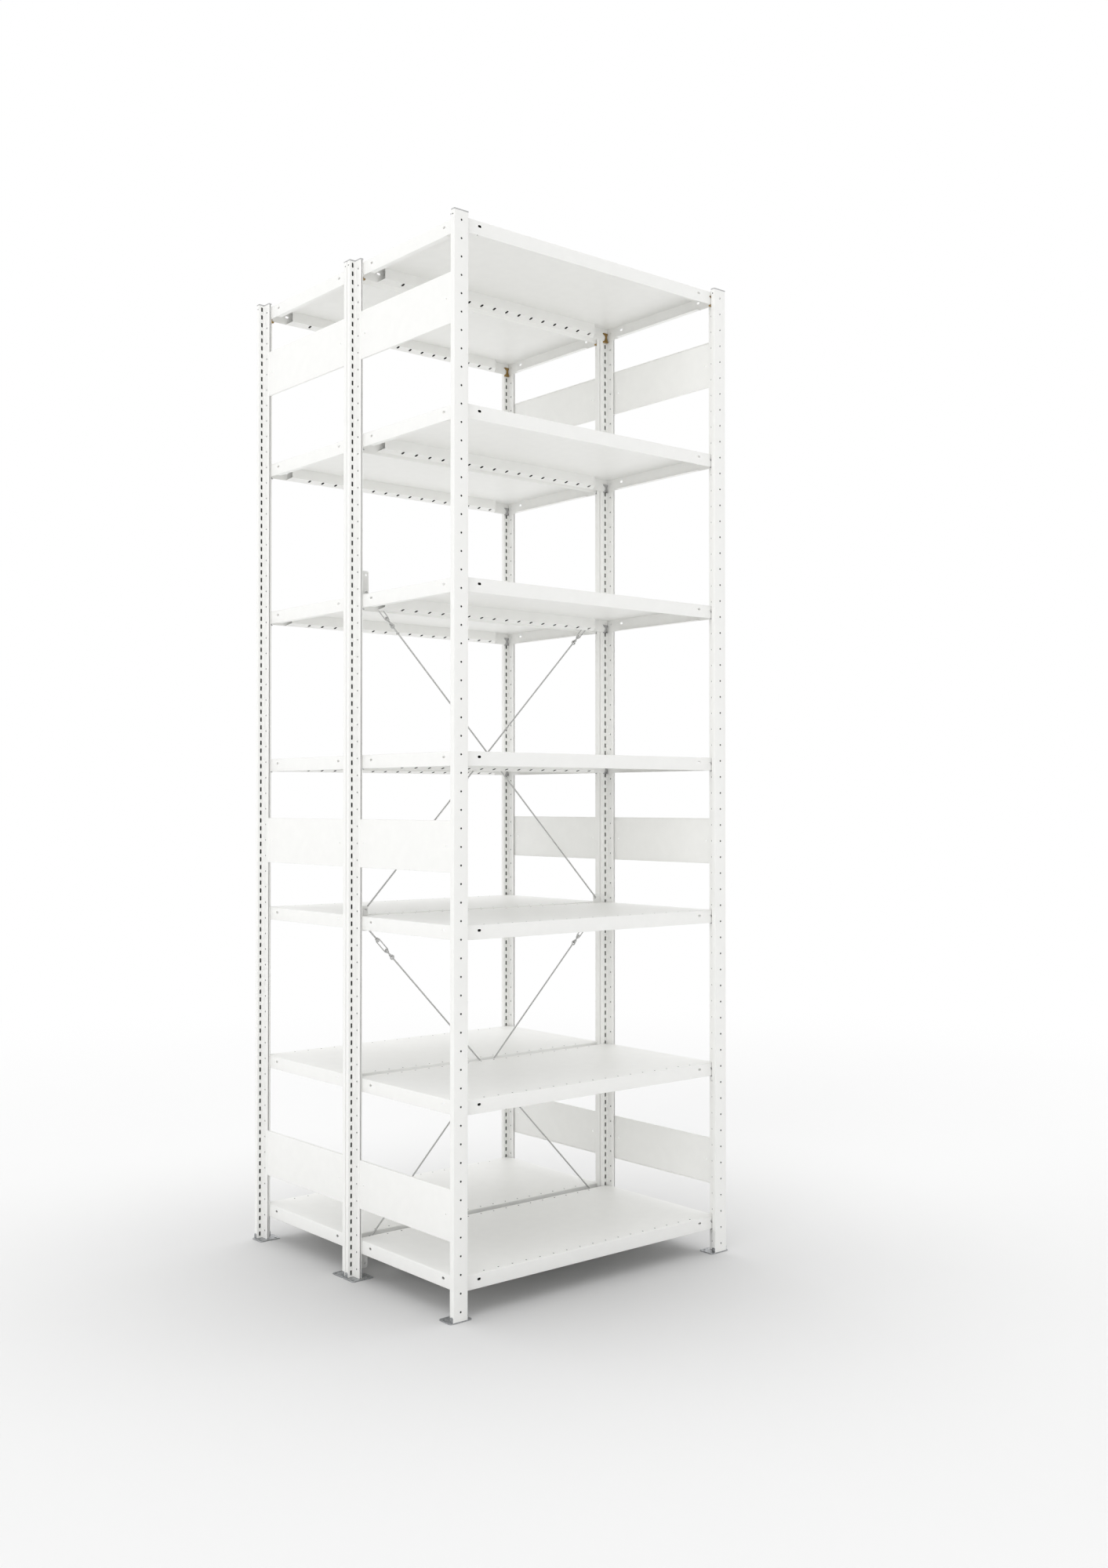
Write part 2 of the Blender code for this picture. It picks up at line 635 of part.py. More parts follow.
def hook_path(eye, towards, pull, reach):
    """Path of a rod that ends in a bend over the plate and passes through its eye.

    Runs in the tie's own frame: eye is the eye's place along the tie, pull is how far
    the rod bears off the eye's middle, and reach is how far from the eye the rod starts.
    """
    bend = TIE_DIAMETER / 2 + FIT_GAP
    face = BRACE_PLATE / 2
    seat = eye + towards * pull
    path = [(0, -TIE_OFFSET, eye + towards * reach)]
    for step in range(HOOK_STEPS + 1):
        angle = step / HOOK_STEPS * math.pi / 2
        path.append((0, -face - bend * math.cos(angle), seat + towards * bend * (1 - math.sin(angle))))
    path.append((0, face + TIE_TAIL, seat))
    return path


def ring_mesh(name, at, square):
    """Ring at the end of a rod or screw, its hole square to the tie."""
    bpy.ops.mesh.primitive_torus_add(major_segments=RING_SIDES, minor_segments=RING_WIRE_SIDES,
                                     major_radius=RING_RADIUS, minor_radius=RING_WIRE / 2)
    ring = bpy.context.active_object
    mesh = ring.data.copy()
    mesh.name = name
    bpy.data.objects.remove(ring, do_unlink=True)
    mesh.transform(Matrix.Rotation(math.pi / 2, 4, 'X' if square else 'Y'))
    mesh.transform(Matrix.Translation((0, -TIE_OFFSET, at)))
    return mesh


def tie_rod_mesh():
    """Long rod of a tie: a ring at its upper end and a hook through the lower plate's eye."""
    pull = BRACE_EYE / 2 - TIE_DIAMETER / 2 - FIT_GAP
    path = hook_path(TIE_LENGTH, -1, pull, TIE_LENGTH - RING_AT - RING_RADIUS)
    return combined("tie_rod", tube_mesh("tie_rod", path, TIE_DIAMETER),
                    [('UNION', ring_mesh("rod_ring", RING_AT, True))])


def tie_screw_mesh():
    """Eye screw between the turnbuckle and the long rod's ring."""
    path = [(0, -TIE_OFFSET, BUCKLE_AT + BUCKLE_LENGTH / 2 - SCREW_GRIP),
            (0, -TIE_OFFSET, SCREW_RING_AT - RING_RADIUS)]
    return combined("tie_screw", tube_mesh("tie_screw", path, TIE_DIAMETER),
                    [('UNION', ring_mesh("screw_ring", SCREW_RING_AT, False))])


def turnbuckle_mesh():
    """Turnbuckle body: two bored bosses joined by two bars, along its own Z."""
    boss_at = (BUCKLE_LENGTH - BUCKLE_BOSS) / 2
    bosses = rod_cutter_mesh("buckle_bosses", [(0, 0, end * boss_at) for end in (-1, 1)], (0, 0, 1),
                             BUCKLE_BOSS_DIAMETER / 2, BUCKLE_BOSS, TIE_SIDES)
    bars = rod_cutter_mesh("buckle_bars", [(side * BUCKLE_SPREAD / 2, 0, 0) for side in (-1, 1)], (0, 0, 1),
                           BUCKLE_BAR / 2, BUCKLE_LENGTH - BUCKLE_BOSS / 2)
    bore = rod_cutter_mesh("buckle_bore", [(0, 0, 0)], (0, 0, 1), TIE_DIAMETER / 2 + BUCKLE_PLAY,
                           BUCKLE_LENGTH + CUT_OVERRUN, TIE_SIDES)
    return combined("turnbuckle", bosses, [('UNION', bars), ('DIFFERENCE', bore)])


clear_scene()
parts = new_collection("double_sided_shelving_unit")
cutters = new_collection("cutters")

paint_post = new_material("post_paint", PAINT, 0.45, 0.0)
paint_shelf = new_material("shelf_paint", PAINT, 0.45, 0.0)
paint_panel = new_material("panel_paint", PAINT, 0.45, 0.0)
zinc_foot = new_material("foot_zinc", ZINC, 0.4, 0.9)
zinc_tie = new_material("tie_zinc", ZINC, 0.35, 0.9)
zinc_brace = new_material("brace_zinc", ZINC, 0.4, 0.9)


def new_empty(name, matrix, parent=None):
    empty = bpy.data.objects.new(name, None)
    parts.objects.link(empty)
    empty.parent = parent
    empty.matrix_basis = matrix
    return empty


def build_frames():
    """Posts, feet and side panels of the four upright frames."""
    posts = {bay_side: post_mesh(bay_side) for bay_side in (-1, 1)}
    feet = {bay_side: foot_mesh("foot_plate", bay_side) for bay_side in (-1, 1)}
    panel = panel_mesh()
    for rack_name, rack in (("front", -1), ("rear", 1)):
        rack_empty = new_empty(rack_name + "_rack", Matrix.Translation((0, rack * SHELF_Y, 0)))
        for side_name, side in (("left", -1), ("right", 1)):
            x = side * BAY_WIDTH / 2
            for face in (-1, 1):
                role = "outer" if face == rack else "inner"
                name = f"{rack_name}_{side_name}_{role}"
                y = face * RACK_DEPTH / 2
                turn = 0 if face < 0 else math.pi
                bay_side = side * face
                place(name + "_post", posts[bay_side], paint_post, (x, y, POST_BASE), turn, rack_empty)
                place(name + "_foot", feet[bay_side], zinc_foot, (x, y, 0), turn, rack_empty)
            for band, height in panel_heights().items():
                turn = 0 if side < 0 else math.pi
                place(f"{rack_name}_{side_name}_{band}_side_panel", panel, paint_panel,
                      (x, 0, height), turn, rack_empty)


def build_shelves():
    """Seven shelves in each rack, numbered from the lowest."""
    shelf = shelf_mesh()
    for rack_name, rack in (("front", -1), ("rear", 1)):
        for number, height in enumerate(level_heights(), 1):
            place(f"{rack_name}_shelf_{number}", shelf, paint_shelf, (0, rack * SHELF_Y, height))


def build_bracing():
    """Brace plates between the racks, and the two crossed pairs of ties."""
    plates = {hooked: brace_plate_mesh(hooked) for hooked in (True, False)}
    rod = tie_rod_mesh()
    screw = tie_screw_mesh()
    turnbuckle = turnbuckle_mesh()
    for band, height in brace_heights().items():
        hooked = band != BRACE_BANDS[-1]
        for side_name, side in (("left", -1), ("right", 1)):
            turn = 0 if side < 0 else math.pi
            spot = (side * BAY_WIDTH / 2, 0, height)
            plate = place(f"{band}_{side_name}_brace_plate", plates[hooked], zinc_brace, spot, turn)
            if hooked:
                name = f"{band}_{side_name}"
                tie = new_empty(name + "_tie", Matrix.Translation((EYE_OUT, 0, -HOLE_PITCH)) @ tie_turn(), plate)
                place(name + "_tie_rod", rod, zinc_tie, parent=tie)
                place(name + "_tie_screw", screw, zinc_tie, parent=tie)
                place(name + "_turnbuckle", turnbuckle, zinc_tie, (0, -TIE_OFFSET, BUCKLE_AT), parent=tie)


build_frames()
build_shelves()
build_bracing()
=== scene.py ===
"""Looks of the double-sided shelving unit: painted sheet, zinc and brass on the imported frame."""

import math

import bmesh
import bpy
from mathutils import Matrix, Vector


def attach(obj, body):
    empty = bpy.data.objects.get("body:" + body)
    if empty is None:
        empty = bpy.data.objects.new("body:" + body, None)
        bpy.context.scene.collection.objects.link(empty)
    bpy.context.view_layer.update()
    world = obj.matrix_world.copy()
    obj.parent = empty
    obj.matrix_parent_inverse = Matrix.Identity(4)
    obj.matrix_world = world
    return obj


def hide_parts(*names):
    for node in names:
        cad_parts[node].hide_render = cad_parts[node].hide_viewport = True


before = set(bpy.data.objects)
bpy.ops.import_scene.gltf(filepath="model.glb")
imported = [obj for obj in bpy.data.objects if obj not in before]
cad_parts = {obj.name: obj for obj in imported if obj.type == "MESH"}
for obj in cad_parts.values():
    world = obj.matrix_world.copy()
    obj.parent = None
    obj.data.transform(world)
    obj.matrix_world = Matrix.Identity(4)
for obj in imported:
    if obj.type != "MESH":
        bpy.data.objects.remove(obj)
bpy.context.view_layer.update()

# Sizes shared with the part, in metres
GAP = 0.0003
SHELF_WIDTH = 0.996
SHELF_DEPTH = 0.500
SHELF_HEIGHT = 0.040
SHELF_SHEET = 0.001
HEM_DEPTH = 0.025
HEM_RISE = 0.008
HEM_OUTER_END = 0.067
HEM_END = 0.079
SIDE_NOTCH = 0.060
SIDE_LIP = 0.015
POST_SHEET = 0.0015
FLANGE_WIDTH = 0.048
FLANGE_DEPTH = 0.015
WEB_WIDTH = 0.010
POST_DEPTH = 0.044
SLOT_WIDTH = 0.006
SLOT_HEIGHT = 0.015
SLOT_PITCH = 0.025
SLOT_COLUMN = 0.0135
HOLE_DIAMETER = 0.005
HOLE_PITCH = 0.050
POST_BASE = 0.0033
POST_TOP = 3.0033
LOWEST_SLOT = 0.0158
TOP_HOLE = 2.9783
CAP_HEIGHT = 0.004
CLIP_SHEET = 0.002
CLIP_STRIP = 0.008
JAW_PLAY = 0.0005
FOOT_SHEET = 0.003
FOOT_DEPTH = 0.056
EAR_SHEET = 0.002
BAY_WIDTH = 1.007
RACK_DEPTH = 0.5352
RACK_Y = 0.2689
SHELF_HEIGHTS = [0.0733 + 0.475 * level for level in range(6)] + [2.9583]
PANEL_HEIGHTS = {"upper": 2.7783, "middle": 1.2783, "lower": 0.2783}
PANEL_HEIGHT = 0.142
PANEL_SHEET = 0.0012
PANEL_THICKNESS = 0.0064
PANEL_END = 0.020
PANEL_HOLE_INSET = 0.064
BRACE_HEIGHTS = {"upper": 2.0783, "middle": 1.0783, "lower": 0.0783}
BRACE_PLATE = 0.002
EYE_OUT = 0.045
TIE_DIAMETER = 0.005
TIE_OFFSET = BRACE_PLATE / 2 + GAP + TIE_DIAMETER / 2
TIE_SPAN = BAY_WIDTH - 2 * EYE_OUT
TIE_DROP = 0.950
TIE_LENGTH = math.hypot(TIE_SPAN, TIE_DROP)
EYE_PLAY = 0.001 - GAP
RING_RADIUS = 0.00575
RING_WIRE = 0.0045
BUCKLE_FROM_EYE = 0.052
BUCKLE_LENGTH = 0.060
BUCKLE_AT = BUCKLE_FROM_EYE + BUCKLE_LENGTH / 2
BUCKLE_END = BUCKLE_FROM_EYE + BUCKLE_LENGTH
SCREW_RING_AT = BUCKLE_END + 0.010 + RING_RADIUS
RING_AT = SCREW_RING_AT + 2 * RING_RADIUS - RING_WIRE - GAP
SIDES = (("left", -1), ("right", 1))
RACKS = (("front", -1), ("rear", 1))
BOTH_WAYS = (-1, 1)

# Directions and turns
X_AXIS = (1, 0, 0)
Y_AXIS = (0, 1, 0)
Z_AXIS = (0, 0, 1)
TO_WALL = Matrix.Rotation(math.pi / 2, 4, 'X')
TO_SIDE = Matrix.Rotation(math.pi / 2, 4, 'Z') @ TO_WALL
STILL = Matrix.Identity(4)

# Length of a cutter that goes through one sheet
THROUGH_SHEET = 0.006

scene = bpy.context.scene
looks = bpy.data.collections.new("looks")
scene.collection.children.link(looks)


# Meshes

def moved(x, y, z):
    return Matrix.Translation((x, y, z))


def turned_round(needed):
    """Half a turn about Z where it is needed."""
    return Matrix.Rotation(math.pi if needed else 0, 4, 'Z')


def add(name, mesh, material, body, nodes, matrix):
    """Put one visual piece in the scene on the body that it rides on, and hide the parts that it
    stands for.
    """
    if not any(mesh.materials):
        mesh.materials.clear()
        mesh.materials.append(material)
    piece = bpy.data.objects.new(name, mesh)
    looks.objects.link(piece)
    piece.matrix_world = matrix
    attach(piece, body)
    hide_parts(*nodes)


def from_bmesh(name, bm):
    mesh = bpy.data.meshes.new(name)
    bm.to_mesh(mesh)
    bm.free()
    return mesh


def evaluated(form):
    """The mesh of an object after its modifiers, or the mesh that its curve makes."""
    graph = bpy.context.evaluated_depsgraph_get()
    return bpy.data.meshes.new_from_object(form.evaluated_get(graph))


def boxes(name, corners):
    """Separate boxes, each given by its lowest and highest corner."""
    bm = bmesh.new()
    for low, high in corners:
        size = Vector(high) - Vector(low)
        middle = (Vector(high) + Vector(low)) / 2
        bmesh.ops.create_cube(
            bm, size=1.0, matrix=Matrix.Translation(middle) @ Matrix.Diagonal((*size, 1.0)))
    return from_bmesh(name, bm)


def rods(name, centres, axis, radius, length, sides=16):
    """Separate round bars along one axis."""
    turn = Vector(Z_AXIS).rotation_difference(Vector(axis)).to_matrix().to_4x4()
    bm = bmesh.new()
    for centre in centres:
        bmesh.ops.create_cone(bm, cap_ends=True, segments=sides, radius1=radius, radius2=radius,
                              depth=length, matrix=Matrix.Translation(centre) @ turn)
    return from_bmesh(name, bm)


def from_curve(name, curve):
    guide = bpy.data.objects.new(name, curve)
    scene.collection.objects.link(guide)
    mesh = evaluated(guide)
    bpy.data.objects.remove(guide, do_unlink=True)
    bpy.data.curves.remove(curve)
    bm = bmesh.new()
    bm.from_mesh(mesh)
    bpy.data.meshes.remove(mesh)
    bmesh.ops.remove_doubles(bm, verts=bm.verts, dist=GAP / 10)
    bmesh.ops.recalc_face_normals(bm, faces=bm.faces)
    return from_bmesh(name, bm)


def plate(name, outline, thickness, holes=()):
    """A flat outline with any holes in it, made into a plate centred on z = 0."""
    curve = bpy.data.curves.new(name, 'CURVE')
    curve.dimensions = '2D'
    curve.fill_mode = 'BOTH'
    curve.extrude = thickness / 2
    for ring in (outline, *holes):
        spline = curve.splines.new('POLY')
        spline.points.add(len(ring) - 1)
        for point, (x, y) in zip(spline.points, ring):
            point.co = (x, y, 0, 1)
        spline.use_cyclic_u = True
    return from_curve(name, curve)


def tube(name, path, diameter):
    curve = bpy.data.curves.new(name, 'CURVE')
    curve.dimensions = '3D'
    curve.bevel_depth = diameter / 2
    curve.bevel_resolution = 5
    curve.use_fill_caps = True
    spline = curve.splines.new('POLY')
    spline.points.add(len(path) - 1)
    for point, co in zip(spline.points, path):
        point.co = (*co, 1)
    return from_curve(name, curve)


def circle(radius, z, sides):
    """Points of a level circle about Z."""
    angles = [turn * math.tau / sides for turn in range(sides)]
    return [(radius * math.cos(angle), radius * math.sin(angle), z) for angle in angles]


def lathe(name, profile, sides=16):
    """A closed turned piece about Z from (radius, z) points that start and end on the axis."""
    bm = bmesh.new()
    rings = []
    for radius, z in profile:
        points = circle(radius, z, sides) if radius else [(0, 0, z)]
        rings.append([bm.verts.new(point) for point in points])
    for lower, upper in zip(rings, rings[1:]):
        for turn in range(sides):
            after = (turn + 1) % sides
            corners = [lower[turn % len(lower)], lower[after % len(lower)],
                       upper[after % len(upper)], upper[turn % len(upper)]]
            bm.faces.new(list(dict.fromkeys(corners)))
    bmesh.ops.recalc_face_normals(bm, faces=bm.faces)
    return from_bmesh(name, bm)


def with_modifiers(name, mesh, setup):
    """The mesh after the modifiers that setup adds to a passing object."""
    form = bpy.data.objects.new(name, mesh)
    scene.collection.objects.link(form)
    others = setup(form) or []
    result = evaluated(form)
    for thing in [form, *others]:
        data = thing.data
        bpy.data.objects.remove(thing, do_unlink=True)
        bpy.data.meshes.remove(data)
    result.name = name
    return result


def cut(name, mesh, cutters):
    """A mesh with others cut out of it, one after the other.

    The cut faces get the cutter's material, or the mesh's own where the cutter has none.
    """
    def setup(form):
        tools = []
        for cutter in cutters:
            if mesh.materials and not cutter.materials:
                cutter.materials.append(mesh.materials[-1])
            tool = bpy.data.objects.new(name + "_cutter", cutter)
            scene.collection.objects.link(tool)
            tools.append(tool)
            step = form.modifiers.new("step", 'BOOLEAN')
            step.operation = 'DIFFERENCE'
            step.solver = 'EXACT'
            step.material_mode = 'TRANSFER'
            step.object = tool
        return tools
    return with_modifiers(name, mesh, setup)


def softened(name, mesh, width, segments=2):
    """A mesh with its sharp edges rounded."""
    def setup(form):
        bevel = form.modifiers.new("edges", 'BEVEL')
        bevel.width = width
        bevel.segments = segments
        bevel.limit_method = 'ANGLE'
        bevel.angle_limit = math.radians(40)
    return with_modifiers(name, mesh, setup)


def smooth(mesh, angle=32):
    """Smooth shading, but for edges sharper than the angle in degrees."""
    mesh.shade_smooth()
    mesh.set_sharp_from_angle(angle=math.radians(angle))
    return mesh


def joined(name, placed):
    """One mesh of copies, each a (mesh, matrix) pair."""
    bm = bmesh.new()
    for mesh, matrix in placed:
        copy = mesh.copy()
        copy.transform(matrix)
        bm.from_mesh(copy)
        bpy.data.meshes.remove(copy)
    return from_bmesh(name, bm)


def merged(name, meshes):
    """One mesh of several that are in their places."""
    return joined(name, [(mesh, STILL) for mesh in meshes])


def rounded(low, high, radius, steps=5):
    """A closed rectangle outline with arcs for corners, anticlockwise."""
    centres = [(high[0] - radius, high[1] - radius), (low[0] + radius, high[1] - radius),
               (low[0] + radius, low[1] + radius), (high[0] - radius, low[1] + radius)]
    outline = []
    for quarter, (x, y) in enumerate(centres):
        for step in range(steps + 1):
            angle = (quarter + step / steps) * math.pi / 2
            outline.append((x + radius * math.cos(angle), y + radius * math.sin(angle)))
    return outline


def oval(x, y, width, height):
    """A slot outline with round ends."""
    radius = min(width, height) / 2 - GAP / 10
    return rounded((x - width / 2, y - height / 2), (x + width / 2, y + height / 2), radius, 4)


def filleted(profile, radius, steps):
    """An open profile with an arc at each inner corner."""
    points = [Vector(p) for p in profile]
    result = [points[0]]
    for before, corner, after in zip(points, points[1:], points[2:]):
        start = corner + (before - corner).normalized() * radius
        end = corner + (after - corner).normalized() * radius
        for step in range(steps + 1):
            share = step / steps
            result.append(start * (1 - share) ** 2 + corner * 2 * share * (1 - share)
                          + end * share ** 2)
    result.append(points[-1])
    return result


def sheet(name, profile, length, thickness, paints=()):
    """A folded sheet: an open profile in XY run up along Z, thickened to its left.

    Where two paints are given, the first is for the side that the sheet is thickened to and the
    second for the profile's own side and the edges.
    """
    bm = bmesh.new()
    points = [bm.verts.new((*p, 0)) for p in profile]
    edges = [bm.edges.new(pair) for pair in zip(points, points[1:])]
    run = bmesh.ops.extrude_edge_only(bm, edges=edges)
    top = [item for item in run["geom"] if isinstance(item, bmesh.types.BMVert)]
    bmesh.ops.translate(bm, verts=top, vec=(0, 0, length))

    def setup(form):
        solid = form.modifiers.new("sheet", 'SOLIDIFY')
        solid.thickness = thickness
        solid.offset = 1.0
        solid.use_even_offset = True
        solid.material_offset = 1 if paints else 0
        solid.material_offset_rim = solid.material_offset
    mesh = from_bmesh(name, bm)
    for material in paints:
        mesh.materials.append(material)
    return with_modifiers(name, mesh, setup)


# Materials

def new_material(name, roughness, metallic):
    material = bpy.data.materials.new(name)
    material.use_nodes = True
    tree = material.node_tree
    shader = tree.nodes["Principled BSDF"]
    shader.inputs["Roughness"].default_value = roughness
    shader.inputs["Metallic"].default_value = metallic
    place = tree.nodes.new("ShaderNodeTexCoord")
    return material, tree, shader, place.outputs["Object"]


def noise(tree, place, scale, detail=2.0):
    node = tree.nodes.new("ShaderNodeTexNoise")
    node.inputs["Scale"].default_value = scale
    node.inputs["Detail"].default_value = detail
    tree.links.new(place, node.inputs["Vector"])
    return node.outputs["Fac"]


def ramp(tree, factor, low, high, colours):
    """Colours between two values of a factor."""
    node = tree.nodes.new("ShaderNodeValToRGB")
    node.color_ramp.elements[0].position = low
    node.color_ramp.elements[1].position = high
    for element, colour in zip(node.color_ramp.elements, colours):
        element.color = (*colour, 1)
    tree.links.new(factor, node.inputs["Fac"])
    return node.outputs["Color"]


def remapped(tree, value, source=(0.0, 1.0), target=(0.0, 1.0), eased=False):
    """A value taken from one range to another."""
    node = tree.nodes.new("ShaderNodeMapRange")
    if eased:
        node.interpolation_type = 'SMOOTHSTEP'
    limits = zip(("From Min", "From Max", "To Min", "To Max"), (*source, *target))
    for label, limit in limits:
        node.inputs[label].default_value = limit
    tree.links.new(value, node.inputs["Value"])
    return node.outputs["Result"]


def calculated(tree, operation, first, second=None):
    """The result of a sum on a socket and a number, on two sockets or on one alone."""
    node = tree.nodes.new("ShaderNodeMath")
    node.operation = operation
    tree.links.new(first, node.inputs[0])
    if isinstance(second, float):
        node.inputs[1].default_value = second
    elif second:
        tree.links.new(second, node.inputs[1])
    return node.outputs["Value"]


def relief(tree, shader, height, strength, distance):
    node = tree.nodes.new("ShaderNodeBump")
    node.inputs["Strength"].default_value = strength
    node.inputs["Distance"].default_value = distance
    tree.links.new(height, node.inputs["Height"])
    tree.links.new(node.outputs["Normal"], shader.inputs["Normal"])


def powder_paint(name, colour):
    """Powder coat: faint mottle and a fine orange peel about a millimetre across."""
    material, tree, shader, place = new_material(name, roughness=0.4, metallic=0.0)
    darker = tuple(value * 0.985 for value in colour)
    mottle = ramp(tree, noise(tree, place, scale=30), 0.35, 0.65, (darker, colour))
    tree.links.new(mottle, shader.inputs["Base Color"])
    peel = noise(tree, place, scale=850, detail=1.0)
    tree.links.new(remapped(tree, peel, target=(0.36, 0.46)), shader.inputs["Roughness"])
    relief(tree, shader, peel, strength=0.12, distance=0.00004)
    return material


def hollow_painted_shade(name, deep, open_end, middle, reach, fade):
    """Painted shade inside a hollow that runs along X: dark in its length, with painted light at
    its open ends.
    """
    material, tree, shader, place = new_material(name, roughness=0.6, metallic=0.0)
    parts = tree.nodes.new("ShaderNodeSeparateXYZ")
    tree.links.new(place, parts.inputs["Vector"])
    offset = calculated(tree, 'SUBTRACT', parts.outputs["X"], middle)
    away = calculated(tree, 'ABSOLUTE', offset)
    tree.links.new(ramp(tree, away, reach, reach + fade, (deep, open_end)),
                   shader.inputs["Base Color"])
    return material


def zinc(name, dark, light, cell, roughness):
    """Plated metal with patches of the given size and a fine grain."""
    material, tree, shader, place = new_material(name, roughness, metallic=0.85)
    patches = tree.nodes.new("ShaderNodeTexVoronoi")
    patches.inputs["Scale"].default_value = 1 / cell
    tree.links.new(place, patches.inputs["Vector"])
    grey = tree.nodes.new("ShaderNodeSeparateColor")
    tree.links.new(patches.outputs["Color"], grey.inputs["Color"])
    tree.links.new(ramp(tree, grey.outputs["Red"], 0.1, 0.9, (dark, light)),
                   shader.inputs["Base Color"])
    gloss = remapped(tree, grey.outputs["Green"], target=(roughness - 0.06, roughness + 0.08))
    tree.links.new(gloss, shader.inputs["Roughness"])
    grain = noise(tree, place, scale=1400, detail=3.0)
    relief(tree, shader, grain, strength=0.1, distance=0.00003)
    return material


def moulded(name, colour):
    """Matt plastic with a fine grain."""
    material, tree, shader, place = new_material(name, roughness=0.5, metallic=0.0)
    shader.inputs["Base Color"].default_value = (*colour, 1)
    relief(tree, shader, noise(tree, place, scale=1100), strength=0.15, distance=0.00004)
    return material


WHITE = (0.93, 0.93, 0.91)
post_paint = powder_paint("post_paint_look", WHITE)
shelf_paint = powder_paint("shelf_paint_look", WHITE)
panel_paint = powder_paint("panel_paint_look", WHITE)
# Painted shade: near-black colours for insides and for some holes' rims, which lie in deep shade
inside_painted_shade = powder_paint("post_inside_look", (0.03, 0.03, 0.03))
hole_shade = powder_paint("hole_shade_look", (0.01, 0.01, 0.01))
# Painted shade along the rear hem's hollow, with painted light at its open ends
hem_painted_shade = hollow_painted_shade("hem_inside_look", (0.02, 0.02, 0.02), (0.96, 0.96, 0.94),
                          middle=0.035, reach=0.36, fade=0.03)
foot_zinc = zinc("foot_zinc_look", (0.36, 0.37, 0.38), (0.52, 0.53, 0.54), 0.004, 0.42)
tie_zinc = zinc("tie_zinc_look", (0.50, 0.50, 0.50), (0.60, 0.60, 0.59), 0.002, 0.34)
# The brace plates are as light as the painted parts in the photograph
brace_zinc = powder_paint("brace_zinc_look", WHITE)
clip_zinc = zinc("clip_zinc_look", (0.40, 0.40, 0.41), (0.52, 0.52, 0.52), 0.002, 0.38)
clip_brass = zinc("clip_brass_look", (0.27, 0.17, 0.06), (0.38, 0.25, 0.09), 0.002, 0.38)
cap_plastic = moulded("cap_plastic_look", (0.50, 0.50, 0.50))


# Posts

POST_SLOTS = 120
POST_HOLES = 60
POST_BEND = 0.0022
NOSE_SLIT = 0.0028
# Wider than HOLE_DIAMETER, so that the row shows as in the photograph
FACE_HOLE = 0.0057
WEB_HOLE = 0.005
WEB_HOLE_DEPTH = 0.0315
LIP_HOLE = 0.004
LIP_HOLE_DOWN = 0.012
CAP_EDGE = 0.0002
CLIP_BEND = 0.0012
CLIP_LIP = 0.001
TONGUE_RISE = 0.004
TONGUE_CHAMFER = 0.0005
# For a shelf clip: how far the shelf's lower edge is above the middle of the clip's lower slot,
# how far the clip rises above that edge, the size of its rolled edge, and whether it has a nib
LOWER_CLIP = {"seat": 0.0075, "leg": 0.024, "curl": 0.002, "nib": True}
TOP_CLIP = {"seat": 0.0175, "leg": 0.027, "curl": 0.005, "nib": False}
# Half widths of a clip's shield towards the bay and towards the web, at shares of its height
SHIELD_WIDTHS = ((0, 0.0085, 0.0066), (0.1, 0.0085, 0.0066), (0.22, 0.0068, 0.0062),
                 (0.38, 0.0046, 0.0044), (0.52, 0.0040, 0.0036), (0.66, 0.0048, 0.0040),
                 (0.76, 0.0085, 0.0058), (0.84, 0.0118, 0.0066), (0.97, 0.0125, 0.0066),
                 (1, 0.0120, 0.0060))
CURL_WIDTHS = (0.0120, 0.0066)
# Reach of a foot plate towards the bay and away from it
FOOT_REACH = (0.040, 0.034)
ANCHOR_PLACE = (0.026, 0.045)
ANCHOR_SIZE = (0.011, 0.006)
EAR_CORNERS = ((0.002, 0.0), (0.013, 0.017))
SCREW_PLACE = (0.0075, 0.0105)
SCREW_HEAD = ((0, 0), (0.0036, 0), (0.0036, 0.0008), (0.003, 0.0018), (0.0016, 0.0024), (0, 0.0025))


def post_mesh():
    """Folded T section with slots in both slotted faces and holes in face, web and lips."""
    length = POST_TOP - POST_BASE
    right = [(FLANGE_WIDTH / 2, 0), (FLANGE_WIDTH / 2, FLANGE_DEPTH), (WEB_WIDTH / 2, FLANGE_DEPTH),
             (WEB_WIDTH / 2, POST_DEPTH), (NOSE_SLIT / 2, POST_DEPTH)]
    profile = [(-x, y) for x, y in reversed(right)] + right
    mesh = sheet("post", filleted(profile, POST_BEND, 3), length, POST_SHEET,
                 (inside_painted_shade, post_paint))
    # Painted shade: the sheet's inner side is near black in the flange box, while the web's faces
    # keep the paint
    for face in mesh.polygons:
        if face.center.y > FLANGE_DEPTH:
            face.material_index = 1
    window = plate("window", oval(0, 0, SLOT_WIDTH, SLOT_HEIGHT), THROUGH_SHEET)
    slots = []
    for number in range(POST_SLOTS):
        height = LOWEST_SLOT + number * SLOT_PITCH - POST_BASE
        for column in (-SLOT_COLUMN, SLOT_COLUMN):
            slots.append((window, moved(column, FLANGE_DEPTH - POST_SHEET / 2, height) @ TO_WALL))
    heights = [TOP_HOLE - number * HOLE_PITCH - POST_BASE for number in range(POST_HOLES)]
    front = rods("front_holes", [(0, POST_SHEET / 2, height) for height in heights], Y_AXIS,
                 FACE_HOLE / 2, THROUGH_SHEET)
    web = rods("web_holes", [(0, WEB_HOLE_DEPTH, height) for height in heights], X_AXIS,
               WEB_HOLE / 2, 2 * WEB_WIDTH, 10)
    lips = rods("lip_holes", [(0, FLANGE_DEPTH / 2, length - LIP_HOLE_DOWN)], X_AXIS,
                LIP_HOLE / 2, FLANGE_WIDTH + 2 * THROUGH_SHEET, 10)
    # Painted shade on the rims of the front, web and lip holes
    for holes in (front, web, lips):
        holes.materials.append(hole_shade)
    return smooth(cut("post", mesh, [joined("slots", slots), front, web, lips]))


